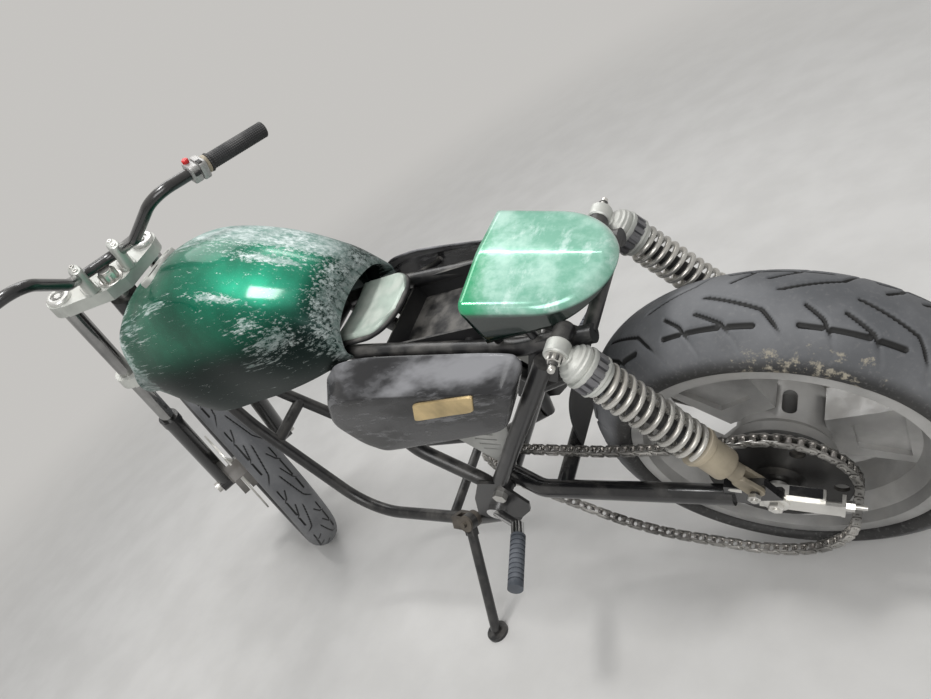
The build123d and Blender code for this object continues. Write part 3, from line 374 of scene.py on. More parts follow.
# %% Finish of the tank
def tank_paint():
    """Dark to bright green by broad noise, darkened to near black where low is high, which is painted shade
    on the lower flank. Each kind of mark is a noise plus a share of wear, past a threshold; the strongest
    mark and the bare edge decide how much primer shows."""
    made = Finish("tank_paint", (0.006, 0.2, 0.105), 0.85, 0.44, 0.5, 0.09)
    worn, low, edge = (made.attribute(name) for name in ("wear", "low", "edge"))
    broad = made.noise(7.0, 6.0)
    flake = made.noise(900.0, 2.0)
    streak = made.noise(11.0, 9.0, stretch=(0.45, 4.0, 4.0), rough=0.74)
    scuff = made.noise(34.0, 10.0, stretch=(0.42, 2.2, 2.2), shift=(5, 2, 7), rough=0.8)
    patch = made.noise(9.0, 4.0, shift=(8, 3, 1))
    hair = made.noise(48.0, 8.0, stretch=(0.22, 4.0, 4.0), shift=(1, 9, 4), rough=0.76)
    flaw = made.noise(150.0, 6.0, stretch=(0.5, 1.6, 1.6), shift=(3, 3, 8), rough=0.75)
    bright = made.blend(made.step(broad, 0.32, 0.68), (0.002, 0.085, 0.05), (0.006, 0.22, 0.125))
    bright = made.blend(made.step(flake, 0.35, 0.75, 0.0, 0.35), bright, (0.02, 0.34, 0.19))
    # painted shade: where low is high the green darkens to near black, since the lower flank faces down
    green_with_low_shade = made.blend(made.step(low, 0.0, 1.0), bright, (0.003, 0.013, 0.011))
    haze = made.step(made.plus(worn, made.times(streak, 1.3)), 1.2, 1.42, 0.0, 0.8)
    marks = made.step(made.plus(made.times(worn, 0.26), scuff), 0.665, 0.74)
    lines = made.step(made.plus(made.times(worn, 0.22), hair), 0.605, 0.665, 0.0, 0.75)
    chips = made.step(made.plus(made.times(worn, 0.1), flaw), 0.655, 0.7, 0.0, 0.7)
    bare = made.most(haze, marks, lines, chips, edge)
    chalk = made.step(made.plus(scuff, made.times(hair, 0.6)), 0.66, 0.98)
    primer = made.blend(chalk, (0.21, 0.33, 0.3), (0.82, 0.89, 0.87))
    primer = made.blend(made.step(patch, 0.4, 0.6, 0.0, 0.35), primer, (0.22, 0.33, 0.3))
    # painted shade: the primer darkens on the lower flank too
    primer = made.blend(made.step(low, 0.25, 1.0, 0.0, 0.55), primer, (0.05, 0.06, 0.055))
    made.link("Base Color", made.blend(made.times(bare, 0.94), green_with_low_shade, primer))
    made.link("Metallic", made.step(bare, 0.0, 1.0, 0.85, 0.05))
    made.link("Roughness", made.step(bare, 0.0, 1.0, 0.44, 0.62))
    made.link("Coat Weight", made.step(made.most(bare, low), 0.0, 0.8, 0.5, 0.05))
    made.bump(made.maths("SUBTRACT", made.times(flake, 0.2), bare), 0.14, 0.0006)
    return made.material


# %% [markdown]
# The seat cowl is the same green under a milky film: clear emerald shows at its front edge and the rest is
# clouded mint. Its skirt faces down and is painted nearly black as shade. The side covers are gloss black
# with a grey bloom of dust, which on the upward flange is also a painted sheen.

# %% Finishes of cowl and covers
def cowl_paint():
    """Clear green where film plus cloudy noise is small, milky where it is large, near black on the skirt as
    painted shade.
    """
    made = Finish("cowl_paint", (0.1, 0.36, 0.22), 0.25, 0.22, 1.0, 0.06)
    film, skirt_shade = made.attribute("film"), made.attribute("skirt_shade")
    cloud = made.noise(14.0, 9.0, rough=0.66)
    wisp = made.noise(30.0, 8.0, stretch=(1, 0.5, 1), shift=(4, 4, 0), rough=0.7)
    milky = made.blend(made.step(cloud, 0.36, 0.64), (0.19, 0.48, 0.35), (0.48, 0.76, 0.64))
    milky = made.blend(made.step(wisp, 0.52, 0.66, 0.0, 0.7), milky, (0.64, 0.86, 0.78))
    clear = made.step(made.plus(film, made.times(cloud, 1.1)), 0.5, 1.05)
    top = made.blend(clear, (0.016, 0.36, 0.15), milky)
    # painted shade: the skirt faces down, so it is painted near black
    made.link("Base Color", made.blend(skirt_shade, top, (0.003, 0.012, 0.009)))
    made.link("Metallic", made.step(skirt_shade, 0.0, 1.0, 0.25, 0.1))
    return made.material


def cover_gloss():
    """Black with grey: blotches times the flange's share, which are dust and a painted sheen on the upward
    flange, then smears or specks of dust, whichever is most.
    """
    made = Finish("cover_gloss", (0.01, 0.01, 0.011), 0.0, 0.22, 0.22, 0.06)
    made.shader.inputs["Specular IOR Level"].default_value = 0.3
    bevel = made.attribute("bevel")
    bloom = made.noise(10.0, 5.0, stretch=(0.6, 1, 1.5), shift=(2, 5, 1), rough=0.52)
    speck = made.noise(60.0, 9.0, shift=(7, 1, 3), rough=0.75)
    smear = made.noise(16.0, 8.0, stretch=(0.6, 1, 2.2), shift=(1, 6, 2), rough=0.72)
    # dust and painted sheen: the upward flange is painted pale grey in blotches
    flange_dust_and_sheen = made.times(made.step(bloom, 0.4, 0.6, 0.08, 1.0), made.step(bevel, 0.0, 1.0, 0.1, 0.66))
    mask = made.most(flange_dust_and_sheen, made.step(smear, 0.5, 0.68, 0.0, 0.34), made.step(speck, 0.63, 0.74, 0.0, 0.3))
    made.link("Base Color", made.blend(mask, (0.006, 0.006, 0.007), (0.4, 0.4, 0.415)))
    made.link("Roughness", made.step(mask, 0.0, 0.6, 0.22, 0.5))
    made.link("Coat Weight", made.step(mask, 0.0, 0.5, 0.22, 0.1))
    made.bump(speck, 0.1, 0.0006)
    return made.material


finishes["tank_green"] = tank_paint()
finishes["cowl_green"] = cowl_paint()
finishes["cover_black"] = cover_gloss()
print(len(finishes), "finishes with the three paints")

# %% [markdown]
# Sheet metal follows a few kinds of curve: a smooth run through rows of numbers, an arc through three
# points, a soft step and an outline with rounded corners. They are written once here and used below.

# %% Curves shared by the sheet metal
def along_rows(stations, values, at):
    """Cubic Hermite curve through rows of numbers; each slope comes from the rows on both sides."""
    stations = np.asarray(stations, float)
    values = np.asarray(values, float)
    slopes = np.gradient(values, stations, axis=0)
    place = np.clip(np.searchsorted(stations, at, side="right") - 1, 0, len(stations) - 2)
    step = (stations[place + 1] - stations[place])[:, None]
    t = ((at - stations[place])[:, None]) / step
    low, high = values[place], values[place + 1]
    return (low * (2 * t**3 - 3 * t**2 + 1) + high * (3 * t**2 - 2 * t**3)
            + slopes[place] * step * (t**3 - 2 * t**2 + t) + slopes[place + 1] * step * (t**3 - t**2))


def arc_through(first, middle, last, count):
    """Points on the circle through three points, for many rows at once: the centre is where the
    perpendicular bisectors meet, and the angle runs evenly from the first point to the last."""
    ax, az = first.T
    bx, bz = middle.T
    cx, cz = last.T
    twice = 2 * (ax * (bz - cz) + bx * (cz - az) + cx * (az - bz))
    a2, b2, c2 = ax**2 + az**2, bx**2 + bz**2, cx**2 + cz**2
    centre = np.stack([(a2 * (bz - cz) + b2 * (cz - az) + c2 * (az - bz)) / twice,
                       (a2 * (cx - bx) + b2 * (ax - cx) + c2 * (bx - ax)) / twice], 1)
    rays = [np.arctan2(*(point - centre).T[::-1]) for point in (first, middle, last)]
    angles = np.unwrap(np.stack(rays), axis=0)
    radius = np.linalg.norm(first - centre, axis=1)
    share = np.linspace(0, 1, count)
    angle = angles[0][:, None] + (angles[2] - angles[0])[:, None] * share
    return centre[:, None] + radius[:, None, None] * np.stack([np.cos(angle), np.sin(angle)], 2)


def smoothed(points, times):
    """Binomial smoothing along the second index: each point moves to a quarter, half, quarter mean."""
    for _ in range(times):
        inner = points[:, :-2] * 0.25 + points[:, 1:-1] * 0.5 + points[:, 2:] * 0.25
        points = np.concatenate([points[:, :1], inner, points[:, -1:]], 1)
    return points


def ease(value, low, high):
    """Smooth step from 0 at low to 1 at high, low may lie above high."""
    t = np.clip((value - low) / (high - low), 0, 1)
    return t * t * (3 - 2 * t)


def pitched(points, degrees):
    """Points turned about the y axis, their front end down."""
    cosine, sine = math.cos(math.radians(degrees)), math.sin(math.radians(degrees))
    x, y, z = np.moveaxis(points, -1, 0)
    return np.stack([x * cosine + z * sine, y, -x * sine + z * cosine], -1)


def blobs(points, places):
    """A field of soft ellipsoids: each place is (x, y, z, length, width, height, strength)."""
    field = np.zeros(len(points))
    for x, y, z, a, b, c, strength in places:
        far = ((points[:, 0] - x) / a) ** 2 + ((points[:, 1] - y) / b) ** 2 + ((points[:, 2] - z) / c) ** 2
        field = np.maximum(field, strength * np.exp(-far))
    return field


def rounded(corners, share_of_run, arc_count=7, run_count=7):
    """A closed outline whose corners are parabolas between points on the two runs that meet there, with a
    few points on each straight stretch. The points match from one outline to another."""
    corners = np.asarray(corners, float)
    before, after = np.roll(corners, 1, 0), np.roll(corners, -1, 0)
    t = np.linspace(0, 1, arc_count)[:, None, None]
    start = corners + (before - corners) * share_of_run
    end = corners + (after - corners) * share_of_run
    arc = (1 - t) ** 2 * start + 2 * t * (1 - t) * corners + t**2 * end
    following = np.roll(start, -1, 0)
    u = np.linspace(0, 1, run_count + 2)[1:-1][:, None, None]
    run = end * (1 - u) + following * u
    return np.concatenate([arc, run]).transpose(1, 0, 2).reshape(-1, 2)


def stepped(outline, steps):
    """Rings of an outline about the origin: one for each (inset, height), drawn in by the inset, which at
    most takes every point to the middle."""
    size = np.linalg.norm(outline, axis=1, keepdims=True)
    return np.array([np.append(outline * np.maximum(1 - inset / size, 0), np.full_like(size, height), 1)
                     for inset, height in steps])


def slab(corners, y_low, y_high, edge=1.5, share_of_run=0.12):
    """A flat plate seen from the side: rounded outline, straight edge, a small chamfer and a face."""
    outline = rounded(corners, share_of_run, 5, 3)
    middle = outline.mean(0)
    bevel = y_high - math.copysign(edge, y_high - y_low)
    rings = stepped(outline - middle, ((1e9, y_low), (0, y_low), (0, bevel), (edge, y_high), (1e9, y_high)))
    return grid((rings + (*middle, 0))[..., [0, 2, 1]], wrap_columns=True)


# %% [markdown]
# The fuel tank is pressed sheet: bulging flanks, a crowned top and a rear edge that rolls down around a
# dark mouth. It could be sculpted from a box, but its shape is known as sections across the machine, so it
# is a loft: each section is an arc up each flank and one over the crown, and their numbers run smoothly
# along x.

# %% Fuel tank
tank_rows = np.array([
    # x, lower edge half and z, widest half and z, shoulder half and z, top z
    (560.0, 100.0, 432.0, 105.0, 472.0, 84.0, 514.0, 540.0),
    (690.0, 122.0, 416.0, 138.0, 484.0, 102.0, 596.0, 622.0),
    (850.0, 132.0, 402.0, 146.0, 500.0, 108.0, 654.0, 686.0),
    (1000.0, 142.0, 408.0, 154.0, 520.0, 110.0, 638.0, 675.0),
    (1100.0, 117.0, 436.0, 141.0, 540.0, 110.0, 620.0, 648.0),
    (1160.0, 92.0, 466.0, 126.0, 556.0, 96.0, 572.0, 590.0)])
tank_rear, tank_nose = tank_rows[0, 0], tank_rows[-1, 0]
curl_reach = 46.0
curl_angle = np.linspace(np.pi / 2, 0, 15)
tank_x = np.concatenate([tank_rear + curl_reach * (1 - np.sin(curl_angle)), np.linspace(614, tank_nose, 76)])
tank_numbers = along_rows(tank_rows[:, 0], tank_rows[:, 1:], tank_x)


def tank_outer():
    """Three arcs a section, joined, smoothed over the shoulders, and drawn in and down where x is near the
    rear edge: the share is one minus the root of one minus the squared way into the curl."""
    n = tank_numbers
    lip, wide, shoulder = n[:, [0, 1]], n[:, [2, 3]], n[:, [4, 5]]
    top = np.stack([np.zeros(len(n)), n[:, 6]], 1)
    flip = np.array([-1.0, 1.0])
    left_side = arc_through(lip, wide, shoulder, 40)
    crown = arc_through(shoulder, top, shoulder * flip, 61)
    right_side = (left_side * flip)[:, ::-1]
    outline = smoothed(np.concatenate([left_side, crown[:, 1:], right_side[:, 1:]], 1), 14)
    into = np.clip((tank_rear + curl_reach - tank_x) / curl_reach, 0, 1)
    curl = (1 - np.sqrt(1 - into**2))[:, None]
    y = outline[:, :, 0] * (1 - 0.1 * curl * ease(outline[:, :, 1], 440, 500))
    z = outline[:, :, 1] - curl * 0.4 * np.maximum(outline[:, :, 1] - 440, 0)
    x = np.broadcast_to(tank_x[:, None], y.shape)
    return np.stack([x, y, z], 2)


def tank_inner(outer):
    """The surface under the sheet with as many points: near the rear it is the outside drawn in by a
    growing wall, and from x = 650 on it runs along the underside, the rail pocket and the tunnel."""
    share = np.linspace(0, 1, outer.shape[1])
    x = tank_x
    wall = 3.0 + 5.0 * ease(x, 562, 600)
    middle = np.array([0.0, 440.0])
    flat = outer[:, :, 1:] - middle
    size = np.linalg.norm(flat, axis=2)
    thin = middle + flat * (1 - wall[:, None] / size)[:, :, None]
    low = np.minimum(outer[:, 0, 2], 470)
    over_rails = x < rail_pocket_end
    roof = np.where(over_rails, 458.0, low)
    ceiling = np.minimum(np.interp(x, [500, 690, 1200], [492, 518, 662]), tank_numbers[:, 6] - 14)
    lip = outer[:, 0, 1]
    pocket = np.minimum(np.where(over_rails, 98.0, tunnel_half_width), lip - 4)
    zero = np.zeros(len(x))
    tunnel = zero + tunnel_half_width
    stops = np.array([(lip, low), (pocket, low), (pocket, roof), (tunnel, roof), (tunnel, ceiling),
                      (zero, ceiling)])
    stop_share = np.array([0, 0.1, 0.2, 0.3, 0.42, 0.5])
    left_part = np.array([[np.interp(share[share <= 0.5], stop_share, stops[:, k, row]) for k in (0, 1)]
                          for row in range(len(x))]).transpose(0, 2, 1)
    under = np.concatenate([left_part, left_part[:, -2::-1] * np.array([-1.0, 1.0])], 1)
    flat = np.where((x < 650)[:, None, None], thin, under)
    flat[:, 0] = outer[:, 0, 1:]
    flat[:, -1] = outer[:, -1, 1:]
    return np.concatenate([outer[:, :, :1], flat], 2)


def kept_behind_fork(points):
    """Soft minimum of x and the sloping plane behind the fork, -w log(exp(-x/w) + exp(-plane/w))."""
    plane = axis_foot_x + (-fork_clearance - (points[..., 2] - axis_foot_z) * axis_sine) / axis_cosine
    x = points[..., 0]
    near = -corner_width * np.logaddexp(-x / corner_width, -plane / corner_width)
    return np.concatenate([near[..., None], points[..., 1:]], -1)


axis_foot_x, axis_foot_z = 1468.2, -2.1
axis_sine, axis_cosine = 0.4478, 0.8942
fork_clearance = 54.0
corner_width = 7.0
tunnel_half_width = 44.0
rail_pocket_end = 724.0
outside = tank_outer()
inside = tank_inner(outside)
outside, inside = kept_behind_fork(outside), kept_behind_fork(inside)
share = np.linspace(0, 1, 6)[:, None, None]
nose = outside[-1][None] * (1 - share) + inside[-1][None] * share
rim = outside[0][None] * (1 - share[::5]) + inside[0][None] * share[::5]


def tank_wear(points):
    """Where the paint is sanded or scuffed: the far shoulder, the nose, the rear rim, streaks, the flank."""
    far_side = ease(points[:, 1], -5, -62) * ease(points[:, 2], 470, 560) * ease(points[:, 0], 1040, 780)
    rear = ease(points[:, 0], 612, 568) * 0.62
    front = ease(points[:, 0], 1010, 1100) * 0.74
    marks = blobs(points, [
        (690, -4, 606, 150, 16, 60, 0.74), (860, -30, 670, 120, 22, 50, 0.66),
        (770, 88, 626, 150, 9, 34, 0.82), (900, 92, 640, 90, 16, 40, 0.6),
        (1010, 100, 626, 60, 30, 40, 0.62), (690, 118, 574, 42, 40, 18, 0.66),
        (650, 132, 532, 66, 40, 30, 0.8), (700, 140, 500, 60, 40, 16, 0.45),
        (590, 112, 490, 30, 30, 40, 0.5), (960, -10, 690, 70, 40, 40, 0.55)])
    return np.maximum.reduce([far_side, rear, front, marks])


def tank_edge(points):
    """Primer along the rear rim, where the paint has chipped off: broken up by two sines of the way
    across."""
    rim_line = ease(points[:, 0], 564.5, 561.5) * ease(points[:, 2], 430, 450)
    return 0.85 * rim_line * ease(np.sin(points[:, 1] * 0.9) + np.sin(points[:, 1] * 0.37), -1.6, -0.6)


def tank_low_shade(points):
    """1 on the lower flank, which gets painted shade because it faces down, 0 from the shoulder up."""
    return ease(points[:, 2], 630, 495)


tank_parts = [grid(surface) for surface in (outside, inside, nose, rim)]
piece("tank_shell", tank_parts, "chassis", "tank_green", stands_for=("fuel_tank",), sharp=40.0,
      attributes={"wear": tank_wear, "edge": tank_edge, "low": tank_low_shade})

# %% [markdown]
# The filler lid is an oval of weathered metal set across the top of the tank. Its rim is a stepped profile
# carried around a slot-shaped outline, so one grid of outline points times profile steps makes it.

# %% Filler lid
def oval(count, half_long, half_wide):
    """A slot outline: a circle of half_wide whose two halves are pulled apart along the long way."""
    angle = around(count)
    pull = (half_long - half_wide) * np.tanh(np.sin(angle) * 8)
    return np.stack([half_wide * np.cos(angle), half_wide * np.sin(angle) + pull], 1)


def raised(outline, steps, centre, slope=6.0):
    """Steps of (inset, height) around an outline, tilted nose down by slope degrees about y."""
    return grid(pitched(stepped(outline, steps), slope) + np.array(centre), wrap_columns=True)


lid_steps = [(0, -2), (0, 9), (1.5, 11.5), (5, 12), (8, 11.2), (9.5, 8.5), (12, 8.6), (20, 9.6), (70, 10)]
# A small black oval at the lid's rear left is painted shade: it stands for the dark recess there.
recess_shade_steps = [(0, 0), (0, 2.2), (1.4, 3.0), (3, 3.0), (4, 1.6), (60, 1.6)]
lid = raised(oval(96, 49, 28), lid_steps, (945.0, 0.0, 677.0))
recess_shade = raised(oval(64, 17, 8), recess_shade_steps, (935.0, 18.0, 687.0))
piece("filler_lid", [lid], "chassis", "cast_alloy", stands_for=("filler_cap",))
piece("filler_recess_shade", [recess_shade], "chassis", "soft_black")

# %% [markdown]
# In the mouth of the tank lies a dished plate with pale, chalky paint. It is a tongue: a rectangle with
# two round corners, bowed like a shallow gutter, thickened by Solidify so that its edge catches the light.

# %% Plate in the tank's mouth
def tongue():
    """Rows run back from x = 606 to 480; the half width narrows as a root towards the rear end; the height
    is dished by the square of the way across and rolls down at the edge."""
    back = np.linspace(0, 1, 48)[:, None]
    across = np.linspace(-1, 1, 49)[None]
    narrow = np.clip((back - 0.58) / 0.42, 0, 1)
    half = 72 * np.sqrt(np.clip(1.02 - narrow**2.4, 0, 1)) + 0 * across
    x = 606 - 126 * back + 0 * across
    y = half * across
    roll = np.maximum(np.clip(np.abs(across) - 0.9, 0, 1) / 0.1, np.clip(back - 0.93, 0, 1) / 0.07)
    z = 455 - 6 * (1 - across**2) - 9 * roll**2
    return grid(np.stack([x, y, z], 2))


plate = piece("mouth_plate", [tongue()], "chassis", "pale_plate", stands_for=("tunnel_plate",))
walled(plate, 0.002)
# A black tube along the plate's edge is painted shade: it fills the dark gap between the plate and the tank.
gap_shade_half = [(606, 74, 444), (545, 74, 444), (520, 70, 444), (498, 56, 444), (484, 30, 444), (480, 0, 444)]
gap_shade_line = gap_shade_half + [(x, -y, z) for x, y, z in gap_shade_half[-2::-1]]
gap_shade = along_rows(np.arange(len(gap_shade_line)), gap_shade_line, np.linspace(0, len(gap_shade_line) - 1, 80))
piece("mouth_gap_shade", [sleeve(gap_shade, 5.0, 12, fixed=(0, 0, 1))], "chassis", "soft_black")

# %% [markdown]
# The seat cowl is a bent sheet with a round tail. Its outline in plan is swept up a short wall, over a
# rolled edge and in to a faint ridge along the middle. Solidify gives the sheet its thickness.

# %% Seat cowl
cowl_front, cowl_bend, cowl_tail, cowl_half = 276.0, 176.0, 84.0, 106.0
cowl_top, cowl_slope, skirt_foot = 486.0, 0.3426, 408.0


def cowl_outline(count):
    """Plan from the front left corner along the side, round the tail and back: straight, arc, straight."""
    side_share = np.linspace(0, 1, 16)[:, None]
    flip = np.array([1.0, -1.0])
    bend = np.array([cowl_bend, cowl_half - 6])
    side = np.array([cowl_front, cowl_half]) * (1 - side_share) + bend * side_share
    tail = arc_through(bend[None], np.array([[cowl_tail, 0.0]]), (bend * flip)[None], count)[0]
    return np.concatenate([side, tail[1:-1], side[::-1] * flip])


def cowl_surface():
    """Each outline point rises from z = 408 to the sloping top, turns inwards on a quarter circle and runs
    to its partner on the ridge; the ridge stands 7 mm above the edges and is rounded by a root."""
    outline = cowl_outline(81)
    roll = 13.0
    ridge_x = 98 + (outline[:, 0] - cowl_tail) * (cowl_front - 98) / (cowl_front - cowl_tail)
    ridge = np.stack([ridge_x, 0 * ridge_x], 1)
    way = ridge - outline
    length = np.maximum(np.linalg.norm(way, axis=1), 1e-6)
    inward = way / length[:, None]
    reach = np.minimum(roll, length * 0.9)
    angle = np.linspace(0, np.pi / 2, 9)
    depth = np.concatenate([np.zeros(8), reach[0] * 0 + (1 - np.cos(angle)), np.full(18, 1.0)])
    run = np.concatenate([np.zeros(17), np.linspace(0, 1, 19)[1:]])
    flat = outline[None] + inward[None] * (reach[None, :, None] * depth[:, None, None]
                                           + (length - reach)[None, :, None] * run[:, None, None])
    half = np.interp(flat[..., 0], [cowl_tail, 110, cowl_bend, cowl_front], [20.0, 78, 100, 106])
    ridge_rise = 7.0 * (1 - np.sqrt((flat[..., 1] / half) ** 2 + 0.004))
    top = cowl_top - (cowl_front - flat[..., 0]) * cowl_slope + np.maximum(ridge_rise, -1.0)
    drop = np.concatenate([np.linspace(1, 0, 8), np.zeros(9 + 18)])
    fall = np.concatenate([np.ones(8), 1 - np.sin(angle), np.zeros(18)])
    edge = top - roll * fall[:, None]
    z = edge * (1 - drop[:, None]) + skirt_foot * drop[:, None]
    return grid(np.concatenate([flat, z[..., None]], 2))


def cowl_film(points):
    """The milky film is thin by the front edge and along the near side of the top."""
    return ease(points[:, 0], 288, 176) * 0.85 + 0.28 * ease(points[:, 1], 60, -50)


def cowl_skirt_shade(points):
    """1 on the skirt, which gets painted shade; it starts 9 to 15 mm below the sloping top."""
    return ease(points[:, 2] - cowl_top + (cowl_front - points[:, 0]) * cowl_slope, -9, -15)


cowl = piece("cowl_shell", [cowl_surface()], "chassis", "cowl_green", sharp=60.0,
             attributes={"film": cowl_film, "skirt_shade": cowl_skirt_shade})
walled(cowl, 0.003)
feet = [sleeve([(x, hand * 94, 376), (x, hand * 95, 395), (x, hand * 96, 440)], 7.0, 16)
        for x in (206.0, 266.0) for hand in hands]
piece("cowl_feet", feet, "chassis", "frame_paint")
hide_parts("seat_cowl")

# %% [markdown]
# The side covers are moulded shells with a sloping flange above a long crease. Back and face outlines are
# rounded polygons with matching points, so the wall is a straight blend and the edge a small curve.

# %% Side covers
cover_back = [(640, 412), (575, 448), (500, 450), (232, 398), (230, 372), (302, 288), (417, 276), (560, 264),
              (624, 262), (664, 290), (684, 350)]
cover_face = [(618, 402), (560, 411), (470, 400), (262, 370), (252, 346), (312, 274), (417, 263), (560, 250),
              (612, 247), (645, 278), (664, 345)]
cover_back_y, cover_face_y = 124.0, 170.0


def cover_surface(hand):
    """From the open back a wall runs to the face, bends over a quadratic curve and goes in to the middle,
    with a slight crown from one minus the squared way out."""
    def at_depth(outline, y):
        """The outline with one y for all its points, as its third number."""
        return np.concatenate([outline, np.full((len(outline), 1), y)], 1)

    back, face = rounded(cover_back, 0.3), rounded(cover_face, 0.3)
    along = np.clip(face[:, 0], 340, 585)
    spine = np.stack([along, np.interp(along, [340, 585], [322, 332])], 1)
    middle = np.array([450.0, 328.0])
    rows = [at_depth(back * (1 - s) + face * s, cover_back_y + (cover_face_y - cover_back_y) * s)
            for s in np.linspace(0, 0.78, 9)]
    wall_end = rows[-1]
    corner = at_depth(face, cover_face_y)
    inner = face + (spine - face) * 0.12
    onto = at_depth(inner, cover_face_y + 0.5)
    for t in np.linspace(0, 1, 9)[1:]:
        rows.append((1 - t) ** 2 * wall_end + 2 * t * (1 - t) * corner + t**2 * onto)
    for t in np.linspace(0, 1, 14)[1:]:
        rows.append(at_depth(inner + (middle - inner) * t, cover_face_y + 0.5 + 3.0 * (1 - (1 - t) ** 2)))
    points = np.array(rows)[..., [0, 2, 1]] * np.array([1.0, hand, 1.0])
    return grid(points, wrap_columns=True)


def cover_flange_dust_and_sheen(points):
    """The flange above the crease, where dust lies and a sheen is painted: 1 where the wall slopes and lies
    high, 0 on the face.
    """
    crease = np.interp(points[:, 0], [250, 480, 560, 650], [366, 396, 404, 396])
    return ease(np.abs(points[:, 1]), 170.4, 168.5) * ease(points[:, 2], crease - 12, crease)


for hand, side_name in hands.items():
    shell = piece("cover_shell_" + side_name, [cover_surface(hand)], "chassis", "cover_black",
                  sharp=50.0, attributes={"bevel": cover_flange_dust_and_sheen})
    walled(shell, 0.0035)
    post_profile = [(0, 0), (6, 0), (6, 88), (9, 91), (0, 92)]
    post = lathe((520, hand * 84, 420), (520, hand * 168, 381), post_profile, 20)
    piece("cover_post_" + side_name, [post], "chassis", "soft_black")
    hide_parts("side_cover_" + side_name)

badge_corners = [(430, 375), (306, 373), (329, 338), (460, 334)]
piece("blank_badge", [slab(badge_corners, 169.0, 177.0)], "chassis", "badge_gold")

# %% [markdown]
# Tyre rubber is dark grey rather than black, dusty on the crown, with grooves of clean rubber that are
# painted near black as shade in the recesses, and a crust of dried clay on one shoulder. Grooves and clay
# come from attributes that the tyre's own formula writes.

# %% Finish of the tyres
def tyre_finish():
    """Dark wall and grey tread by the crown's share, near black in grooves as painted shade, clay where its
    share plus noise is high."""
    made = Finish("tyre_rubber", (0.075, 0.077, 0.082), 0.0, 0.6)
    groove_shade, clay, crown = (made.attribute(name) for name in ("groove_shade", "clay", "crown"))
    cloud = made.noise(9.0, 7.0)
    speck = made.noise(170.0, 5.0, shift=(2, 7, 3))
    crust = made.noise(55.0, 7.0, shift=(6, 1, 2), rough=0.7)
    wall = made.blend(made.step(cloud, 0.3, 0.7), (0.012, 0.012, 0.012), (0.03, 0.029, 0.028))
    tread = made.blend(made.step(cloud, 0.3, 0.7), (0.095, 0.098, 0.104), (0.165, 0.168, 0.175))
    ground = made.blend(crown, wall, tread)
    ground = made.blend(made.step(speck, 0.52, 0.8, 0.0, 0.35), ground, (0.24, 0.235, 0.23))
    # painted shade: grooves darken to near black, darker than the clean rubber of the wall
    ground = made.blend(made.step(groove_shade, 0.18, 0.62), ground, (0.004, 0.004, 0.004))
    caked = made.step(made.plus(made.times(clay, 0.3), crust), 0.8, 0.9)
    made.link("Base Color", made.blend(made.times(caked, 0.8), ground, (0.4, 0.36, 0.28)))
    made.bump(made.plus(made.noise(700.0, 3.0), made.times(caked, 2.0)), 0.4, 0.0006)
    return made.material


finishes["tyre_rubber"] = tyre_finish()

# %% [markdown]
# The rear tyre's pattern repeats ten times around. On each side three bent grooves run from the middle to
# the shoulder and a broken line follows the edge. Every point of the crown measures its distance to those
# lines on the unrolled tread and sinks where it is close. The far side is half a step behind.

# %% Tread pattern
tread_start, tread_step = 77.1, 36.0
bent_grooves = [[(12.7, 1.0), (27.3, 29.0), (34.0, 70.0)], [(10.3, 25.0), (17.2, 43.0), (21.1, 70.0)],
                [(1.2, 21.0), (5.4, 37.0), (9.3, 70.0)]]
edge_dashes = [[(0.0, 46.0), (5.2, 46.8)], [(7.6, 47.2), (16.4, 47.6)], [(19.0, 47.8), (25.2, 48.0)]]


def away_from(run, across, line):
    """Distance of points to a line of straight runs: each run's nearest point is its clamped projection."""
    nearest = np.full(run.shape, 1e9)
    for (x0, y0), (x1, y1) in zip(line[:-1], line[1:]):
        dx, dy = x1 - x0, y1 - y0
        t = np.clip(((run - x0) * dx + (across - y0) * dy) / (dx**2 + dy**2), 0, 1)
        nearest = np.minimum(nearest, np.hypot(run - x0 - t * dx, across - y0 - t * dy))
    return nearest


def groove_depth(angle, across, radius, scale=1.0):
    """How much of a groove there is at a point of the tread, from 0 to 1, and the same for the dashes."""
    per_degree = math.radians(1) * radius
    depths = []
    for lines, outside_at, inside_at in ((bent_grooves, 3.8, 1.8), (edge_dashes, 4.2, 2.2)):
        depth = np.zeros(np.broadcast(angle, across).shape)
        for side, late in ((1, 0.0), (-1, tread_step / 2)):
            phase = np.mod(angle - tread_start + late, tread_step)
            for repeat in (-tread_step, 0.0, tread_step):
                for line in lines:
                    flat = [((degree + repeat) * per_degree, y * scale) for degree, y in line]
                    near = away_from(phase * per_degree, np.abs(across), flat)
                    cut = ease(near, outside_at * scale, inside_at * scale)
                    depth = np.maximum(depth, (across * side > 0) * cut)
        depths.append(depth)
    return depths


# %% [markdown]
# A tyre is turned about its axle. Only the crown needs a fine grid, because the grooves sink its own
# points; the walls and the inner skin are a few rings each. Bump alone wouldn't show in the outline.

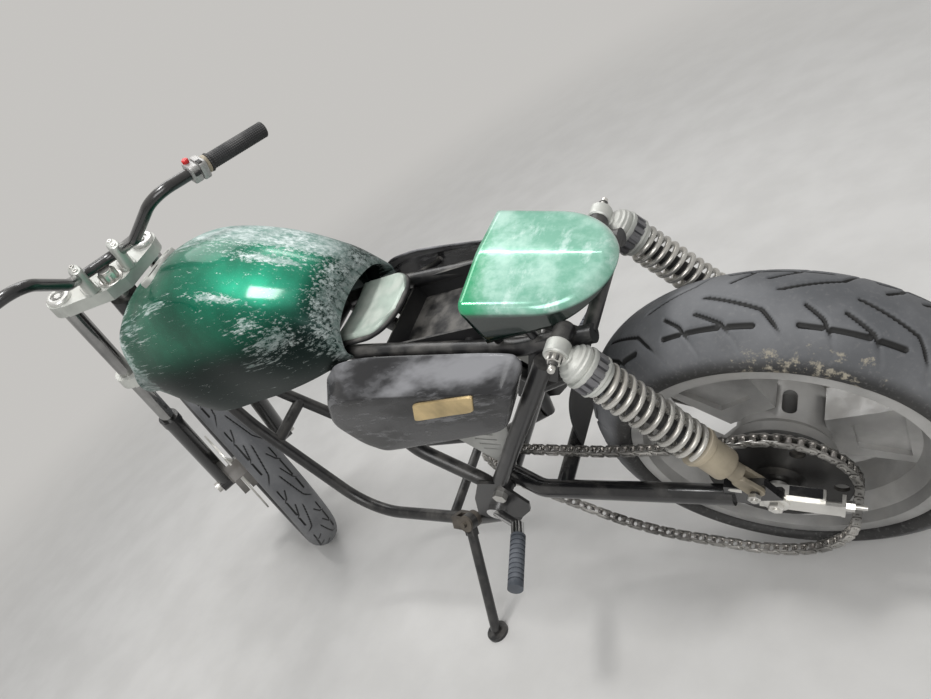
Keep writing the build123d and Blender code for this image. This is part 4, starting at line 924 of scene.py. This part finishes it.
# %% Tyres
def tyre_parts(radius, half_width, crown, bead_radius, bead_half, flange_radius, centre, scale, columns,
               rows):
    """Crown and walls turned about the axle: a round crown over the ring, an arc through the widest point
    on each side down to the bead, and an inner skin 10 to 16 mm below. Grooves sink the crown by 5 mm
    times the scale."""
    ring = radius - crown
    edge = half_width - 3
    shoulder_r = ring + math.sqrt(crown**2 - edge**2)
    rise = flange_radius + 3
    span = math.asin(edge / crown)
    slope = np.linspace(span, -span, rows)
    angle = around(columns)
    crown_r = (ring + crown * np.cos(slope))[:, None] + 0 * angle
    crown_y = (crown * np.sin(slope))[:, None] + 0 * angle
    cut, dash = groove_depth(np.degrees(angle)[None], crown_y, radius, scale)
    fade = 1 - 0.75 * ease(np.abs(crown_y), 40 * scale, 62 * scale)
    crown_r = crown_r - 5.0 * scale * np.maximum(cut * fade, dash)
    # the mask also says where shade is painted in the grooves
    mask = np.maximum(cut * fade * 0.8, dash)

    def turned(r, y):
        """A point of the cross-section, r from the axle and y across, turned to every angle."""
        return np.stack([centre + r * np.cos(angle), y + 0 * angle, r * np.sin(angle)], -1)

    stops = [(shoulder_r, edge), ((rise + shoulder_r) / 2, half_width), (rise, bead_half)]
    wall = arc_through(*(np.array([stop]) for stop in stops), 12)[0]
    inner = [(bead_radius, bead_half), (bead_radius, bead_half - 12), (ring + crown * 0.52, edge - 10),
             (radius - 16, edge * 0.4), (radius - 13, 0)]
    half_profile = np.concatenate([wall, inner])
    parts = [grid(turned(crown_r, crown_y), wrap_columns=True)]
    for side in (1, -1):
        parts.append(grid(turned(half_profile[:, :1], side * half_profile[:, 1:]), wrap_columns=True))
    return parts, mask


def rubber_marks(centre, mask, bead):
    """Attribute values for a tyre's points: painted groove shade from the mask, crown and clay from where a
    point lies.
    """
    def groove_shade(points):
        """One on the tread's points that lie in a groove, where painted shade goes, from the mask in the
        mesh's own order.
        """
        values = np.zeros(len(points))
        values[:mask.size] = mask.ravel()
        return values

    def crown(points):
        """How far out a point is, from 0 on the wall near the bead to 1 on the tread."""
        far = np.hypot(points[:, 0] - centre, points[:, 2])
        return ease(far, bead + 16, bead + 38)

    def clay(points):
        """Share of dried clay: a band of angles about the axle times the near side of the tread."""
        turn = np.degrees(np.arctan2(points[:, 2], points[:, 0] - centre))
        return ease(points[:, 1], 50, 74) * ease(turn, 88, 100) * ease(turn, 150, 128)

    return {"groove_shade": groove_shade, "crown": crown, "clay": clay}


# radius, half width, crown radius, bead radius, half width of the bead, flange radius, centre, scale, grid
for end, frame_place, sizes in (
        ("rear", from_upright, (308.9, 84.0, 86.0, 219.0, 64.0, 230.0, 0.0, 1.0, 840, 84)),
        ("front", from_fork, (332.9, 46.0, 46.5, 241.3, 25.7, 252.0, fork_offset, 0.6, 900, 56))):
    parts, mask = tyre_parts(*sizes)
    piece(end + "_tyre_rubber", parts, end + "_wheel", "tyre_rubber", frame_place,
          (end + "_tyre",), 70.0, rubber_marks(sizes[6], mask, sizes[5]))

# %% [markdown]
# A roller chain is links on a loop. The loop is straight runs joined by arcs; it is cut into equal pitches,
# and one link of rollers, pins and waisted plates is carried to every pitch. Plates change between inner
# and outer from link to link, as on a real chain.

# %% Drive chain
def loop_line(corners, bends, spacing):
    """Straight runs with an arc of its own radius at each corner, as many equal steps as fit in evenly."""
    corners = np.array(corners, float)
    points = []
    for before, corner, after, radius in zip(np.roll(corners, 1, 0), corners, np.roll(corners, -1, 0), bends):
        back, on = unit(before - corner), unit(after - corner)
        half_turn = math.acos(np.clip(back @ on, -1, 1)) / 2
        reach = radius / math.tan(half_turn)
        middle = corner + unit(back + on) * radius / math.sin(half_turn)
        start, end = corner + back * reach - middle, corner + on * reach - middle
        t = np.linspace(0, 1, 60)[:, None]
        arc = start * (1 - t) + end * t
        points.append(middle + unit(arc) * radius)
    line = np.concatenate(points)
    line = np.concatenate([line, line[:1]])
    run = np.concatenate([[0], np.cumsum(np.linalg.norm(np.diff(line, axis=0), axis=1))])
    count = 2 * round(run[-1] / spacing / 2)
    at = np.linspace(0, run[-1], count, endpoint=False)
    return np.stack([np.interp(at, run, line[:, k]) for k in (0, 1)], 1)


def on_tangent(angle, x):
    """The point at x on the line that touches the sprocket's pitch circle at an angle."""
    return (x, (sprocket_radius - x * math.cos(math.radians(angle))) / math.sin(math.radians(angle)))


sprocket_radius, chain_pitch = 109.0, 15.875
upper_touch, lower_touch = 84.8, 198.0
middle_angle = math.radians((upper_touch + lower_touch) / 2)
corner_reach = sprocket_radius / math.cos(math.radians((lower_touch - upper_touch) / 2))
chain_corners = [on_tangent(upper_touch, 268.0),
                 (corner_reach * math.cos(middle_angle), corner_reach * math.sin(middle_angle)),
                 on_tangent(lower_touch, -34.0), (330.0, -205.0), (556.0, -30.0), (556.0, 90.0)]
chain_line = loop_line(chain_corners, [600, sprocket_radius, 150, 330, 60, 44], chain_pitch)
print(len(chain_line), "links, pitch", round(float(np.linalg.norm(chain_line[1] - chain_line[0])), 3))


def link_template(outer):
    """Plates of one link between two pins: a waist between two round ends, plus its rollers or pins."""
    def stack(parts):
        """Rows of (x, y, z), each of the three a number or one value per point of the outline."""
        return np.array([np.stack(np.broadcast_arrays(*part), 1) for part in parts])

    half = chain_pitch / 2
    angle = around(20)
    along = 7.1 * np.cos(angle) + half * np.sign(np.cos(angle)) * np.minimum(1, 6 * np.abs(np.cos(angle)))
    high = 7.1 * np.sin(angle) * (1 - 0.16 * np.exp(-(along / 4.0) ** 2))
    inset, thick = (6.4, 2.0) if outer else (4.2, 2.0)
    face = inset + thick
    steps = ((0.0, inset), (1.0, inset), (1.0, face - 0.4), (0.93, face), (0.0, face))
    shapes = [stack((along * share, side * y, high * share) for share, y in steps) for side in (1, -1)]
    turn = around(12)
    size, reach = (2.6, 9.6) if outer else (5.0, 4.1)
    steps = ((0, -reach), (1, -reach), (1, reach), (0, reach))
    round_x, round_z = size * np.cos(turn), size * np.sin(turn)
    shapes += [stack((end + round_x * share, y, round_z * share) for share, y in steps)
               for end in (-half, half)]
    return shapes


def chain_links(outer):
    """Every second link: its template along the way to the next pin, pulled over to the slanted front run."""
    start = chain_line[outer::2]
    way = np.roll(chain_line, -1, 0)[outer::2] - start
    middle_x, middle_z = (start + way / 2).T[:, :, None, None]
    way_x, way_z = unit(way).T[:, :, None, None]
    parts = []
    for shape in link_template(outer):
        x = middle_x + shape[..., 0] * way_x - shape[..., 2] * way_z
        z = middle_z + shape[..., 0] * way_z + shape[..., 2] * way_x
        y = chain_y + shape[None, ..., 1] - front_slant * np.maximum(x - slant_from, 0)
        parts += [grid(one, wrap_columns=True) for one in np.stack([x, y, z], -1)]
    return parts


chain_y, front_slant, slant_from = 107.0, 0.0963, 120
outer_links, inner_links = chain_links(1), chain_links(0)
plate_count = len(outer_links) // 2
for name, parts, finish, stands in (
        ("outer_plates", outer_links, "chain_plates", ("drive_chain",)),
        ("inner_plates", inner_links[:plate_count], "chain_plates", ()),
        ("rollers", inner_links[plate_count:], "roller_steel", ())):
    piece("chain_" + name, parts, "chassis", finish, stands_for=stands, sharp=50.0)

# %% [markdown]
# A shock absorber is turned parts on one axis: a rubber-bushed eye, a pale cap, a dark notched collar, the
# spring, a tan body and a fork end around the lug. The spring is a circle swept along a helix whose pitch
# closes up at both ends.

# %% Shock absorbers
shock_top = np.array((152.0, 134.0, 395.0))
shock_low = np.array((10.0, 150.0, 55.0))
shock_way = unit(shock_low - shock_top)
coil_radius, coil_turns = 26.5, 10.5


def on_shock(profile, sides=48, shape=None):
    """A turned part on the shock's axis, heights counted down from the upper eye."""
    return lathe(shock_top, shock_low, profile, sides, shape)


def spring_line():
    """A helix whose height runs 0.8 evenly and 0.2 along a soft step, so that both ends close up."""
    angle = np.linspace(0, 2 * np.pi * coil_turns, 560)
    share = angle / angle[-1]
    height = 81 + 167 * (share * 0.8 + 0.2 * ease(share, 0, 1))
    side, other, way = axes_for(shock_way)
    return shock_top + height[:, None] * way + coil_radius * circle(angle, side, other)


def notches(angle):
    """Fourteen slots around the collar: the radius drops by a seventh in a third of every step."""
    return np.where(np.mod(angle * 14 / (2 * np.pi), 1.0) < 0.36, 0.86, 1.0)


def fork_end(side):
    """One cheek of the lower fork end: a tapered plate with a round end about the lower stud."""
    down = unit(shock_way[[0, 2]])
    over = np.array([-down[1], down[0]])
    half = [(12, 8), (4, 13), (-18, 12), (-38, 11)]
    corners = [shock_low[[0, 2]] + down * a + over * b for a, b in half + [(a, -b) for a, b in half[::-1]]]
    base = shock_low[1] + side * 6.0
    return slab(corners, base, base + side * 7.0, 1.5, 0.3)


def mirrored_parts(parts):
    """The same parts on the machine's other side."""
    return [(points * np.array([1.0, -1.0, 1.0]), faces, uv) for points, faces, uv in parts]


eye_side = np.array((0.0, 1.0, 0.0))
shock_sets = {
    "shock_eye": ("cast_alloy", "shock_body", (), [
        lathe(shock_top - 12 * eye_side, shock_top + 12 * eye_side,
              [(8, 0), (16, 0), (18, 2), (18, 22), (16, 24), (8, 24), (8, 0)], 40),
        on_shock([(0, 12), (13, 13), (15, 17), (22, 21), (24, 25), (27.5, 27), (28, 31), (30, 33), (30, 37),
                  (28, 38), (28, 41), (0, 41)]),
        on_shock([(27, 41), (32.2, 42), (32.4, 45), (31, 49), (27, 49)], 72),
        on_shock([(27, 65), (32.4, 65.5), (32.4, 69), (29, 72), (28, 77), (0, 77)], 72)]),
    "shock_collar": ("collar_grey", "shock_body", (), [
        on_shock([(25, 48), (31.9, 48.5), (31.9, 65.5), (25, 66)], 168, notches)]),
    "shock_damper": ("soft_black", "shock_body", (), [
        on_shock([(0, 70), (13, 70), (13, 256), (0, 256)], 32)]),
    "shock_foot": ("tan_alloy", "shock_body", ("shock_",), [
        on_shock([(0, 251), (28, 252), (31, 254), (31, 259), (28, 261), (28, 265), (26, 267), (25, 270),
                  (25, 306), (24, 309), (17, 314), (15, 318), (15, 332), (0, 336)]),
        fork_end(1), fork_end(-1)]),
    "spring_coil": ("spring_paint", "spring_silver", ("spring_",), [
        sleeve(spring_line(), 4.5, 12, fixed=shock_way)])}
for label, (finish, record_slot, stands, parts) in shock_sets.items():
    for side_name, made_parts in (("left", parts), ("right", mirrored_parts(parts))):
        piece(label + "_" + side_name, made_parts, "chassis", finish,
              stands_for=[node + side_name for node in stands])

# %% [markdown]
# Nuts, studs and caps are hexagons and turned profiles. They sit where the plain CAD fasteners end: on the
# shock studs, the axle, the swingarm pivot and along the fork.

# %% Fasteners and caps
fasteners = []
for hand in hands:
    fasteners += bolt((152, hand * 146.5, 395), (152, hand * 171, 395), 11, 10)
    washer = [(0, 0), (14.5, 0), (14.5, 1.6), (0, 2)]
    fasteners.append(lathe((152, hand * 145.8, 395), (152, hand * 148, 395), washer, 32))
    fasteners += bolt((10, hand * 168, 55), (10, hand * 178, 55), 10, 7)
piece("stud_nuts", fasteners, "chassis", "zinc")

caps = []
cap_profile = [(0, 0), (25, 0), (25, 7), (23, 9.5), (19, 10.5), (15, 10), (13.5, 5), (0, 5)]
for hand in hands:
    caps.append(lathe((fork_offset, hand * 101, 787), (fork_offset, hand * 101, 800), cap_profile, 48))
    caps += bolt((fork_offset, hand * 101, 792), (fork_offset, hand * 101, 797), 8)
    caps += bolt((22, hand * 92, 773), (14, hand * 92, 773), 7)
piece("fork_caps", caps, "fork", "bright_alloy", place=from_fork)

stem_profile = [(0, 0), (25, 0), (25, 2.4), (22, 3.2), (22, 4.5), (0, 4.5)]
stem_parts = [lathe((0, 0, 788), (0, 0, 812), stem_profile, 48)]
stem_parts += bolt((0, 0, 792), (0, 0, 812.5), 19.4)
stem_parts.append(lathe((0, 0, 812), (0, 0, 817), [(0, 0), (14, 0), (14, 3), (12.5, 4), (0, 4)], 32))
piece("stem_nut", stem_parts, "fork", "zinc", place=from_fork)

# %% [markdown]
# Bare steel fork ends and straps hold the rear axle. They are flat bars with a bent-over end, so each is a
# slab: an outline seen from the side, carried across from one height to another, tilted like the arm's end.

# %% Ends of the swingarm
arm_slope = -18.0
end_bars = []
for hand in hands:
    for corners, low, high in (
            ([(-66, 10.5), (66, 10.5), (70, 14), (66, 19), (8, 22.5), (-66, 21)], 127.5, 144.4),
            ([(-66, -16), (-58, -16), (-58, 21), (-66, 21)], 127.5, 144.4),
            ([(-58, -16), (22, -16), (30, -11), (22, -8), (-58, -8)], 140.0, 144.4)):
        points, faces, uv = slab(corners, hand * low, hand * high, 1.2, 0.15)
        end_bars.append((pitched(points, arm_slope), faces, uv))
piece("arm_end_bars", end_bars, "chassis", "zinc", sharp=40.0)

# %% [markdown]
# The switch housing is a die-cast box in two halves with a rocker, a red button and a tan ring beside the
# ribbed rubber grip. Boxes with rounded edges come from a rounded outline carried along the bar with its
# size shrinking at both ends; the grip is a turned part whose radius ripples along and around it.

# %% Grips and switches
def on_bar(hand, run):
    """The point on the bar's end run that lies so far in from its tip, and the run's direction."""
    tip = np.array((-187.0, hand * 370.0, 990.0))
    way = unit(tip - (-198.0, hand * 128.0, 1008.0))
    return tip - way * run, way


def soft_box(centre, way, up_way, size, edge=3.0):
    """A box of length, width and height about a centre whose ends and long edges are rounded."""
    side = unit(np.cross(up_way, way))
    over = np.cross(way, side)
    length, width, height = size
    corners = np.array([(1, 1), (-1, 1), (-1, -1), (1, -1)]) * (width / 2, height / 2)
    outline = rounded(corners, min(0.5, 2.2 * edge / min(width, height)), 6, 2)
    near_end = [(1e9, 0), (edge, 0), (edge * 0.3, edge * 0.3), (0, edge)]
    far_end = [(inset, length - along) for inset, along in near_end[::-1]]
    u, v, along = np.moveaxis(stepped(outline, near_end + far_end), -1, 0)[..., None]
    return grid(centre + (along - length / 2) * way + u * side + v * over, wrap_columns=True)


def ribs(angle):
    """A ripple of twenty-four shallow flutes around the grip."""
    return 1 - 0.025 * (1 + np.cos(24 * angle))


grip_profile = [(11.2, 0), (17.5, 0.5), (18, 2), (18, 4), (15.8, 5.5)]
for run in np.linspace(8, 120, 29):
    grip_profile += [(15.5, run - 0.6), (14.7, run + 0.6), (14.7, run + 1.6), (15.5, run + 2.6)]
grip_profile += [(15.5, 126), (13.5, 128), (11.2, 128), (11.2, 120)]
button_profile = [(0, 0), (6.5, 0), (6.5, 5), (5, 6.5), (0, 7)]
ring_profile = [(11.2, 0), (16.5, 0), (17, 1), (17, 6), (16.5, 7), (11.2, 7)]
# each box: offset from the housing's middle, run along the bar, size and rounded edge
housing_boxes = [((0, 0, 0), 9, (15, 38, 36)), ((0, 0, 0), -8, (18, 35, 33)),
                 ((20, 0, 2), -2, (20, 16, 14), 2.0)]
rocker_boxes = [((-10, 0, 17), 8, (8, 14, 5), 1.2), ((-19, 0, 4), -6, (12, 4, 9), 1.2)]
upwards = np.array((0.0, 0.0, 1.0))
for hand, side_name in hands.items():
    middle, way = on_bar(hand, 148)
    grip = lathe(on_bar(hand, 124)[0], on_bar(hand, -4)[0], grip_profile, 96, ribs)
    ring = lathe(on_bar(hand, 131.5)[0], on_bar(hand, 124.5)[0], ring_profile, 36)
    button = lathe(middle + (10, 0, 17) - 8 * way, middle + (10, 0, 24) - 8 * way, button_profile, 24)
    housing, rocker = (
        [soft_box(middle + offset + run * way, way, upwards, *shape) for offset, run, *shape in boxes]
        for boxes in (housing_boxes, rocker_boxes))
    piece("grip_rubber_" + side_name, [grip], "fork", "grip_rubber", from_fork,
          ("grip_" + side_name,), 40.0)
    piece("switch_box_" + side_name, housing, "fork", "cast_grey" if hand < 0 else "soft_black",
          from_fork, ("switch_" + side_name,), 40.0)
    piece("switch_rocker_" + side_name, rocker, "fork", "soft_black", from_fork)
    piece("switch_button_" + side_name, [button], "fork", "red_plastic", from_fork)
    piece("switch_ring_" + side_name, [ring], "fork", "tan_alloy", from_fork)

# %% [markdown]
# The bar is held by two cast blocks that stand up from the top clamp. Each is a tapering post with a
# rounded top and two sunk screws; the bar passes through it low down.

# %% Bar holders
holders = []
screws = []
screw_profile = [(0, 0), (5.5, 0), (5.5, 4), (4.5, 5), (2.8, 5), (2.8, 2), (0, 2)]
onwards = np.array((1.0, 0.0, 0.0))
for hand in hands:
    foot = np.array((10.0, hand * 44.0, 786.0))
    holders.append(soft_box(foot + (0, 0, 5), upwards, onwards, (10, 34, 44), 4.0))
    holders.append(soft_box(foot + (-8, 0, 35), upwards, onwards, (66, 25, 42), 8.0))
    for x in (-17.0, 1.0):
        screws.append(lathe(foot + (x, 0, 65), foot + (x, 0, 71), screw_profile, 20))
piece("bar_holders", holders, "fork", "cast_alloy", from_fork, ("handlebar_clamps",), 40.0)
piece("bar_screws", screws, "fork", "zinc", from_fork)

# %% [markdown]
# The rear axle is a ground steel rod through spacers, with a stepped washer and a small nut at each end.
# It is one turned profile, except for the nuts.

# %% Rear axle
axle_end = [(10, 136), (10, 149), (18.6, 149), (18.6, 151), (17, 152), (8, 152), (8, 161), (0, 161)]
axle_profile = [(radius, -y) for radius, y in axle_end[::-1]] + [
    (15, -136), (15, -93), (10, -93), (10, 118), (15, 118), (15, 136)] + axle_end
axle_parts = [lathe((0, 0, 0), (0, 10, 0), axle_profile, 40)]
for hand in hands:
    axle_parts += bolt((0, hand * 151.5, 0), (0, hand * 163, 0), 12, 9)
piece("axle_set", axle_parts, "chassis", "zinc", stands_for=("rear_axle",), sharp=40.0)

# %% [markdown]
# The parts whose CAD shape is already right keep it and get a finish each: castings grey, hard chrome on
# the fork tubes, zinc on the fasteners and frame paint on all that the table doesn't name.

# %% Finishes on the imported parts
node_finish = {}
for finish, nodes in {
        "cast_grey": "rear_wheel front_wheel", "sprocket_black": "rear_sprocket",
        "zinc": "rear_brake_disc front_brake_disc front_axle chain_adjusters pivot_bolt steering_stem",
        "arm_paint": "swingarm fork_slider_left fork_slider_right handlebar",
        "soft_black": "battery_tray inner_mudguard", "panel_grey": "louvre_left louvre_right",
        "chrome": "peg_bracket_left peg_bracket_right brake_pedal",
        "peg_rubber": "footpeg_left footpeg_right",
        "dull_steel": "rear_caliper front_caliper", "plate_grime": "stand_bracket",
        "cast_alloy": "fork_top_clamp fork_lower_clamp",
        "stanchion_chrome": "stanchion_left stanchion_right"}.items():
    node_finish.update(dict.fromkeys(nodes.split(), finishes[finish]))
for name, node in frame["nodes"].items():
    finish = node_finish.get(name, finishes["frame_paint"])
    if not node.material_slots:
        node.data.materials.append(finish)
    for holder in node.material_slots:
        holder.material = finish
print(len(frame["nodes"]), "nodes have a finish,", len(node_finish), "of them named")

# %% [markdown]
# The machine stands on a pale floor that runs into a background of the same tone. Near the machine the
# floor is a plain diffuse surface that keeps the shadow; further out it fades to a fixed tone, which only
# the camera and reflections see.

# %% Floor and background
def seen_ray(tree):
    """One for a ray from the camera, off a mirror or through glass, nothing for a ray that brings light."""
    rays = tree.nodes.new("ShaderNodeLightPath")
    share = rays.outputs["Is Camera Ray"]
    for kind in ("Is Glossy Ray", "Is Transmission Ray"):
        larger = tree.nodes.new("ShaderNodeMath")
        larger.operation = "MAXIMUM"
        tree.links.new(share, larger.inputs[0])
        tree.links.new(rays.outputs[kind], larger.inputs[1])
        share = larger.outputs[0]
    return share


backdrop = (0.56, 0.548, 0.528)
metres = np.linspace(-30, 30, 61)
floor_points, floor_faces, _ = grid(np.stack(np.meshgrid(metres, metres, [0.0], indexing="ij"), -1)[:, :, 0])
floor_mesh = bpy.data.meshes.new("floor")
floor_mesh.from_pydata(floor_points.tolist(), [], floor_faces[:, ::-1].tolist())
floor = linked("floor", floor_mesh)
made = Finish("floor_paint", (0.72, 0.7, 0.67), 0.0, 0.75)
grain = made.noise(6.0, 8.0)
made.link("Base Color", made.blend(made.step(grain, 0.3, 0.7), (0.7, 0.685, 0.66), (0.76, 0.745, 0.72)))
made.bump(made.noise(180.0, 4.0), 0.15, 0.0006)
place = made.node("VectorMath", {0: made.coordinates.outputs["Object"]}, operation="LENGTH")
far = made.times(made.step(place.outputs["Value"], 1.6, 4.5), seen_ray(made.tree))
glow = made.node("Emission", {"Color": (*backdrop, 1.0), "Strength": 1.0})
mixed = made.node("MixShader", {0: far, 1: made.shader.outputs[0], 2: glow.outputs[0]})
made.tree.links.new(mixed.outputs[0], made.tree.nodes["Material Output"].inputs[0])
floor_mesh.materials.append(made.material)

world = bpy.data.worlds.new("studio")
bpy.context.scene.world = world
world.use_nodes = True
tree = world.node_tree
sky = tree.nodes["Background"]
sky.inputs["Color"].default_value = (0.96, 0.98, 1.0, 1.0)
sky.inputs["Strength"].default_value = 0.42
shown = tree.nodes.new("ShaderNodeBackground")
shown.inputs["Color"].default_value = (*backdrop, 1.0)
either = tree.nodes.new("ShaderNodeMixShader")
tree.links.new(seen_ray(tree), either.inputs[0])
tree.links.new(sky.outputs[0], either.inputs[1])
tree.links.new(shown.outputs[0], either.inputs[2])
tree.links.new(either.outputs[0], tree.nodes["World Output"].inputs[0])

# %% [markdown]
# The light is a workshop's: one small ceiling lamp straight above the tank, which draws the bright spot on
# its shoulder, a thin strip on the far side, and two wide soft lamps that fill from both sides.

# %% Lamps
# name, place and aim in upright millimetres, size in metres, power in watts
for name, place, aim, size, power in (
        ("ceiling_strip", (620, -20, 2500), (620, -20, 300), (0.4, 0.34), 19.0),
        ("far_strip", (580, -1900, 2560), (300, -40, 440), (1.5, 0.14), 9.0),
        ("wide_near", (-700, 1700, 2100), (400, 0, 150), (1.8, 1.2), 30.0),
        ("wide_far", (1700, -1500, 2300), (500, 0, 200), (1.6, 1.2), 16.0)):
    data = bpy.data.lights.new(name, "AREA")
    data.shape = "RECTANGLE"
    data.size, data.size_y = size
    data.energy = power
    lamp = linked(name, data)
    lamp.location = Vector(from_upright(place))
    lamp.rotation_euler = (Vector(from_upright(aim)) - lamp.location).to_track_quat("-Z", "Y").to_euler()
    print("lamp", name, power, "watts")

# %% [markdown]
# The camera stands behind and left of the machine, a little above it, and is rolled as the picture is.
# Its place and directions were found from points of the machine that the picture shows.

# %% Camera
focal_pixels, picture_width = 740.5, 931
camera_place = (-405.0, 714.4, 1004.5)
camera_data = bpy.data.cameras.new("camera")
camera_data.sensor_width = 36.0
camera_data.sensor_fit = "HORIZONTAL"
camera_data.lens = focal_pixels / picture_width * camera_data.sensor_width
camera = linked("camera", camera_data)
view = unit([0.64842, -0.54156, -0.53504])
image_right = unit(np.cross(view, (-0.14983, -0.77985, 0.60778)))
image_up = np.cross(image_right, view)
turn = np.stack([image_right @ upright_axes, image_up @ upright_axes, -(view @ upright_axes)], 1)
placed = Matrix(turn.tolist()).to_4x4()
placed.translation = Vector(from_upright(camera_place))
camera.matrix_world = placed
bpy.context.scene.camera = camera
bpy.context.scene.view_settings.view_transform = "Standard"
print("camera at", tuple(round(value, 3) for value in camera.location), "lens", round(camera_data.lens, 2))
